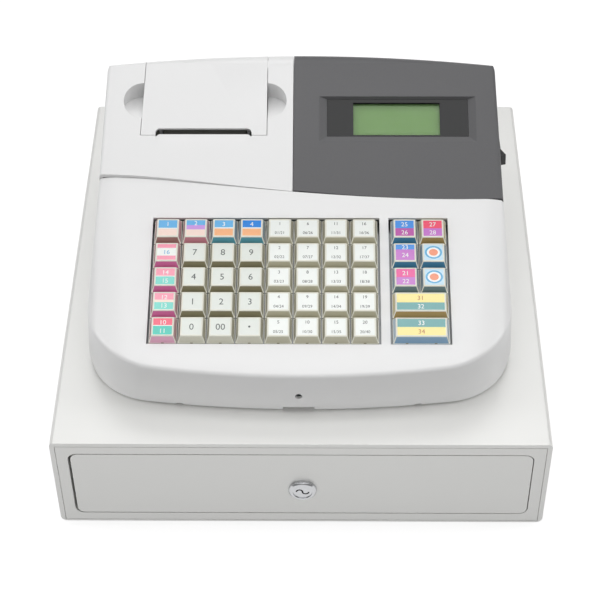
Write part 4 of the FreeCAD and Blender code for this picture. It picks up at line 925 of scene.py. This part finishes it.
class FunctionKeys(bpy.types.Operator):
    """Coloured keys in the left column, the back row and the right-hand pad"""

    bl_idname = "register.function_keys"
    bl_label = "Function keys"

    def execute(self, context):
        for table, first, slot in ((FUNCTION_KEYS, LEFT_KEY, "key_pink"), (PAD_KEYS, PAD_KEY, "key_violet")):
            for node, (column, row, core, bands, numbers) in table.items():
                maker = KeyMaker(core)
                x, u = place_of(column, row, first)
                maker.cap(x, u, bands)
                for number, shift in numbers:
                    ink = "ring_blue" if node == "key_function_3" else "label_white"
                    maker.digits(number, maker.sizes.band_digit, x, u + shift * MM, ink)
                maker.done("cap_" + node, "key_blue" if node.startswith("key_top") else slot, node)
        return {"FINISHED"}


class WideKeys(bpy.types.Operator):
    """Two double-width keys at the front of the right-hand pad"""

    bl_idname = "register.wide_keys"
    bl_label = "Wide keys"

    def execute(self, context):
        for node, (row, core, bands, numbers) in WIDE_KEYS.items():
            maker = KeyMaker(core)
            x, u = place_of(0.5, row, PAD_KEY)
            maker.cap(x, u, bands, PITCH)
            for number, shift, ink in numbers:
                maker.digits(number, maker.sizes.band_digit, x, u + shift * MM, ink)
            maker.done("cap_" + node, "key_yellow", node)
        return {"FINISHED"}


class Housings(bpy.types.Operator):
    """Plastic housings, smoothly shaded"""

    bl_idname = "register.housings"
    bl_label = "Housings"

    def execute(self, context):
        for node in NODE_FINISHES["white_case"]:
            body = "paper_cover" if node == "printer_cover" else "base"
            shell_copy(node + "_shell", node, "white_case", "white_plastic", body)
        shell_copy("display_housing_shell", "display_housing", "grey_case", "grey_plastic", "base")
        return {"FINISHED"}


class Cabinet(bpy.types.Operator):
    """Painted cabinet, drawer, rails and release"""

    bl_idname = "register.cabinet"
    bl_label = "Cabinet and drawer"

    def execute(self, context):
        finish_nodes("cabinet_paint", "zinc_steel", "black_tray", "magnet_coil")
        for node in ("cabinet_cover", "front_frame"):
            shell_copy(node + "_panel", node, "cabinet_paint", "cabinet_paint", "base")
        shell_copy("drawer_front_panel", "drawer_front", "cabinet_paint", "cabinet_paint", "drawer")
        return {"FINISHED"}


class LockAndFeet(bpy.types.Operator):
    """Bright lock, rubber feet and roller"""

    bl_idname = "register.lock_and_feet"
    bl_label = "Lock, feet and roller"

    def execute(self, context):
        finish_nodes("chrome_ring", "lock_core", "roller_rubber", "foot_rubber")
        ring = shell_copy("lock_ring", "lock_housing", "chrome_ring", "chrome", "drawer")
        self.round_lip(ring.data)
        smooth(ring, 40)
        return {"FINISHED"}

    @staticmethod
    def round_lip(data):
        """Rounds both edges of the ring's sloping lip."""
        mesh = bmesh.new()
        mesh.from_mesh(data)
        front = min(v.co.y for v in mesh.verts)
        lip = [e for e in mesh.edges if all(v.co.y < front + LIP_DEPTH for v in e.verts)
               and len(e.link_faces) == 2 and LIP_LEAST < e.calc_face_angle(0) < LIP_MOST]
        bmesh.ops.bevel(mesh, geom=lip, offset=LIP_ROUND, segments=4, profile=0.5, affect="EDGES",
                        material=-1)
        mesh.to_mesh(data)
        mesh.free()


class DisplayAndPrinter(bpy.types.Operator):
    """Display, lens, receipt roll, print head, switch and key plate"""

    bl_idname = "register.display_and_printer"
    bl_label = "Display and printer"

    def execute(self, context):
        finish_nodes("clear_lens", "display_glass", "black_case", "grey_mechanism", "receipt_paper",
                     "switch_plate")
        return {"FINISHED"}


class Screws(bpy.types.Operator):
    """Pan-head screws in the register's back wall and under the cabinet"""

    bl_idname = "register.screws"
    bl_label = "Screws"

    def execute(self, context):
        mesh = bmesh.new()
        low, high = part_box("upper_case")
        middle = (low.x + high.x) / 2
        for across in (-BACK_SCREW_SIDE, BACK_SCREW_SIDE):
            turn = math.asin(across / BACK_BOW)
            place = (middle + across, high.y - BACK_BOW * (1 - math.cos(turn)), BACK_SCREW_HEIGHT)
            facing = Matrix.Rotation(-turn, 4, "Z") @ Matrix.Rotation(-math.pi / 2, 4, "X")
            self.screw(mesh, Matrix.Translation(place) @ facing)
        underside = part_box("cabinet_cover")[0].z
        for x in (-BASE_SCREW_SIDE, BASE_SCREW_SIDE):
            for y in (-BASE_SCREW_DEPTH, BASE_SCREW_DEPTH):
                self.screw(mesh, Matrix.Translation((x, y, underside)) @ Matrix.Rotation(math.pi, 4, "X"))
        smooth(piece("case_screws", merged(mesh), ["zinc_steel"], "base", "steel"), 35)
        return {"FINISHED"}

    @staticmethod
    def screw(mesh, place):
        """A low domed head with a round driver recess, its axis along Z before it is placed."""
        radius = bpy.context.scene.register_sizes.screw_head
        height = radius * 0.5
        start = set(mesh.verts)
        made = bmesh.ops.create_cone(mesh, cap_ends=True, segments=SCREW_SEGMENTS, radius1=radius,
                                     radius2=radius * 0.82, depth=height)["verts"]
        bmesh.ops.translate(mesh, verts=made, vec=(0, 0, height / 2))
        lid = max({f for v in made for f in v.link_faces}, key=lambda f: f.calc_center_median().z)
        bmesh.ops.bevel(mesh, geom=list(lid.edges), offset=radius * 0.16, segments=3, profile=0.5,
                        affect="EDGES", material=-1)
        faces = {f for v in mesh.verts if v not in start for f in v.link_faces}
        lid = max(faces, key=lambda f: (round(f.calc_center_median().z, 7), f.calc_area()))
        bmesh.ops.inset_individual(mesh, faces=[lid], thickness=radius * 0.3, depth=0)
        bmesh.ops.inset_individual(mesh, faces=[lid], thickness=radius * 0.06, depth=-height / 2)
        bmesh.ops.transform(mesh, matrix=place, verts=[v for v in mesh.verts if v not in start])


class Studio(bpy.types.Operator):
    """White floor, soft lamps, room light and the camera"""

    bl_idname = "register.studio"
    bl_label = "Studio"

    def execute(self, context):
        settings = context.scene.register_studio
        self.floor(settings.floor_glow)
        self.room(settings.sky_light)
        for name, (place, aim, size, setting) in LAMPS.items():
            self.lamp(name, place, aim, size, getattr(settings, setting))
        self.camera(settings.focal_length)
        context.scene.view_settings.view_transform = "Standard"
        return {"FINISHED"}

    @staticmethod
    def seen_by(finish, *rays):
        """One for these rays, which show the background as white, and nought for the others."""
        path = finish.node("ShaderNodeLightPath").outputs
        seen, *others = (Field(finish, path[ray]) for ray in rays)
        for other in others:
            seen = seen.at_least(other)
        return seen

    def floor(self, glow):
        mesh = bmesh.new()
        bmesh.ops.create_grid(mesh, x_segments=4, y_segments=4, size=FLOOR_REACH)
        data = bpy.data.meshes.new("floor")
        mesh.to_mesh(data)
        mesh.free()
        made = bpy.data.objects.new("floor", data)
        bpy.context.scene.collection.objects.link(made)
        finish = Finish("floor_white")
        seen = self.seen_by(finish, "Is Camera Ray", "Is Transmission Ray", "Is Glossy Ray")
        tone = finish.shaded(FLOOR_LIT, 0.995, 1.005, finish.noise(40, 2))
        lit = finish.node("ShaderNodeBsdfDiffuse", None, {"Color": tone})
        dim = finish.node("ShaderNodeBsdfDiffuse", None, {"Color": FLOOR_SHADOW})
        glowing = finish.node("ShaderNodeEmission", None, {"Color": WHITE, "Strength": glow})
        both = finish.node("ShaderNodeAddShader", None, {0: dim.outputs[0], 1: glowing.outputs[0]})
        mixed = finish.node("ShaderNodeMixShader", None, {0: seen, 1: lit.outputs[0], 2: both.outputs[0]})
        finish.node("ShaderNodeOutputMaterial", None, {"Surface": mixed.outputs[0]})
        data.materials.append(finish.material)

    def room(self, strength):
        light = Finish("room", bpy.data.worlds)
        level = self.seen_by(light, "Is Camera Ray", "Is Transmission Ray") * (1 - strength) + strength
        glow = light.node("ShaderNodeBackground", None, {"Color": WHITE, "Strength": level})
        light.node("ShaderNodeOutputWorld", None, {"Surface": glow.outputs[0]})
        bpy.context.scene.world = light.material

    @staticmethod
    def lamp(name, place, aim, size, power):
        data = bpy.data.lights.new(name, "AREA")
        data.shape = "RECTANGLE"
        data.size, data.size_y = size
        data.energy = power
        made = bpy.data.objects.new(name, data)
        made.location = place
        made.rotation_euler = (Vector(aim) - Vector(place)).to_track_quat("-Z", "Y").to_euler()
        bpy.context.scene.collection.objects.link(made)

    @staticmethod
    def camera(focal):
        level = math.cos(CAMERA_PITCH)
        ahead = Vector((math.sin(CAMERA_YAW) * level, math.cos(CAMERA_YAW) * level, -math.sin(CAMERA_PITCH)))
        right = Vector((math.cos(CAMERA_YAW), -math.sin(CAMERA_YAW), 0))
        up = right.cross(ahead)
        rolled_right = right * math.cos(CAMERA_ROLL) + up * math.sin(CAMERA_ROLL)
        rolled_up = up * math.cos(CAMERA_ROLL) - right * math.sin(CAMERA_ROLL)
        data = bpy.data.cameras.new("camera")
        data.lens = focal
        data.sensor_width = SENSOR
        made = bpy.data.objects.new("camera", data)
        turn = Matrix((rolled_right, rolled_up, -ahead)).transposed().to_4x4()
        made.matrix_world = Matrix.Translation(CAMERA_PLACE) @ turn
        bpy.context.scene.collection.objects.link(made)
        bpy.context.scene.camera = made


OPERATORS = (Cabinet, LockAndFeet, Housings, DisplayAndPrinter, NumberKeys, DepartmentKeys, FunctionKeys,
             WideKeys, Screws, Studio)


class RegisterPanel(bpy.types.Panel):
    """Lists the steps that dress the register"""

    bl_idname = "VIEW3D_PT_register"
    bl_label = "Counter register"
    bl_space_type = "VIEW_3D"
    bl_region_type = "UI"
    bl_category = "Register"

    def draw(self, context):
        column = self.layout.column()
        for operator in OPERATORS:
            column.operator(operator.bl_idname)
        for group in ("register_sizes", "register_colours", "register_studio"):
            settings = getattr(context.scene, group)
            for name in settings.__annotations__:
                column.prop(settings, name)


GROUPS = {
    "register_sizes": RegisterSizes,
    "register_colours": RegisterColours,
    "register_studio": RegisterStudio,
}


def register():
    for group in (*GROUPS.values(), *OPERATORS, RegisterPanel):
        bpy.utils.register_class(group)
    for name, group in GROUPS.items():
        setattr(bpy.types.Scene, name, bpy.props.PointerProperty(type=group))


def unregister():
    for name in GROUPS:
        delattr(bpy.types.Scene, name)
    for group in (RegisterPanel, *reversed(OPERATORS), *GROUPS.values()):
        bpy.utils.unregister_class(group)


def main():
    register()
    for operator in OPERATORS:
        call = getattr(bpy.ops.register, operator.bl_idname.split(".")[1])
        if call() != {"FINISHED"}:
            raise RuntimeError(f"{operator.bl_label} did not finish")


if __name__ == "__main__":
    main()
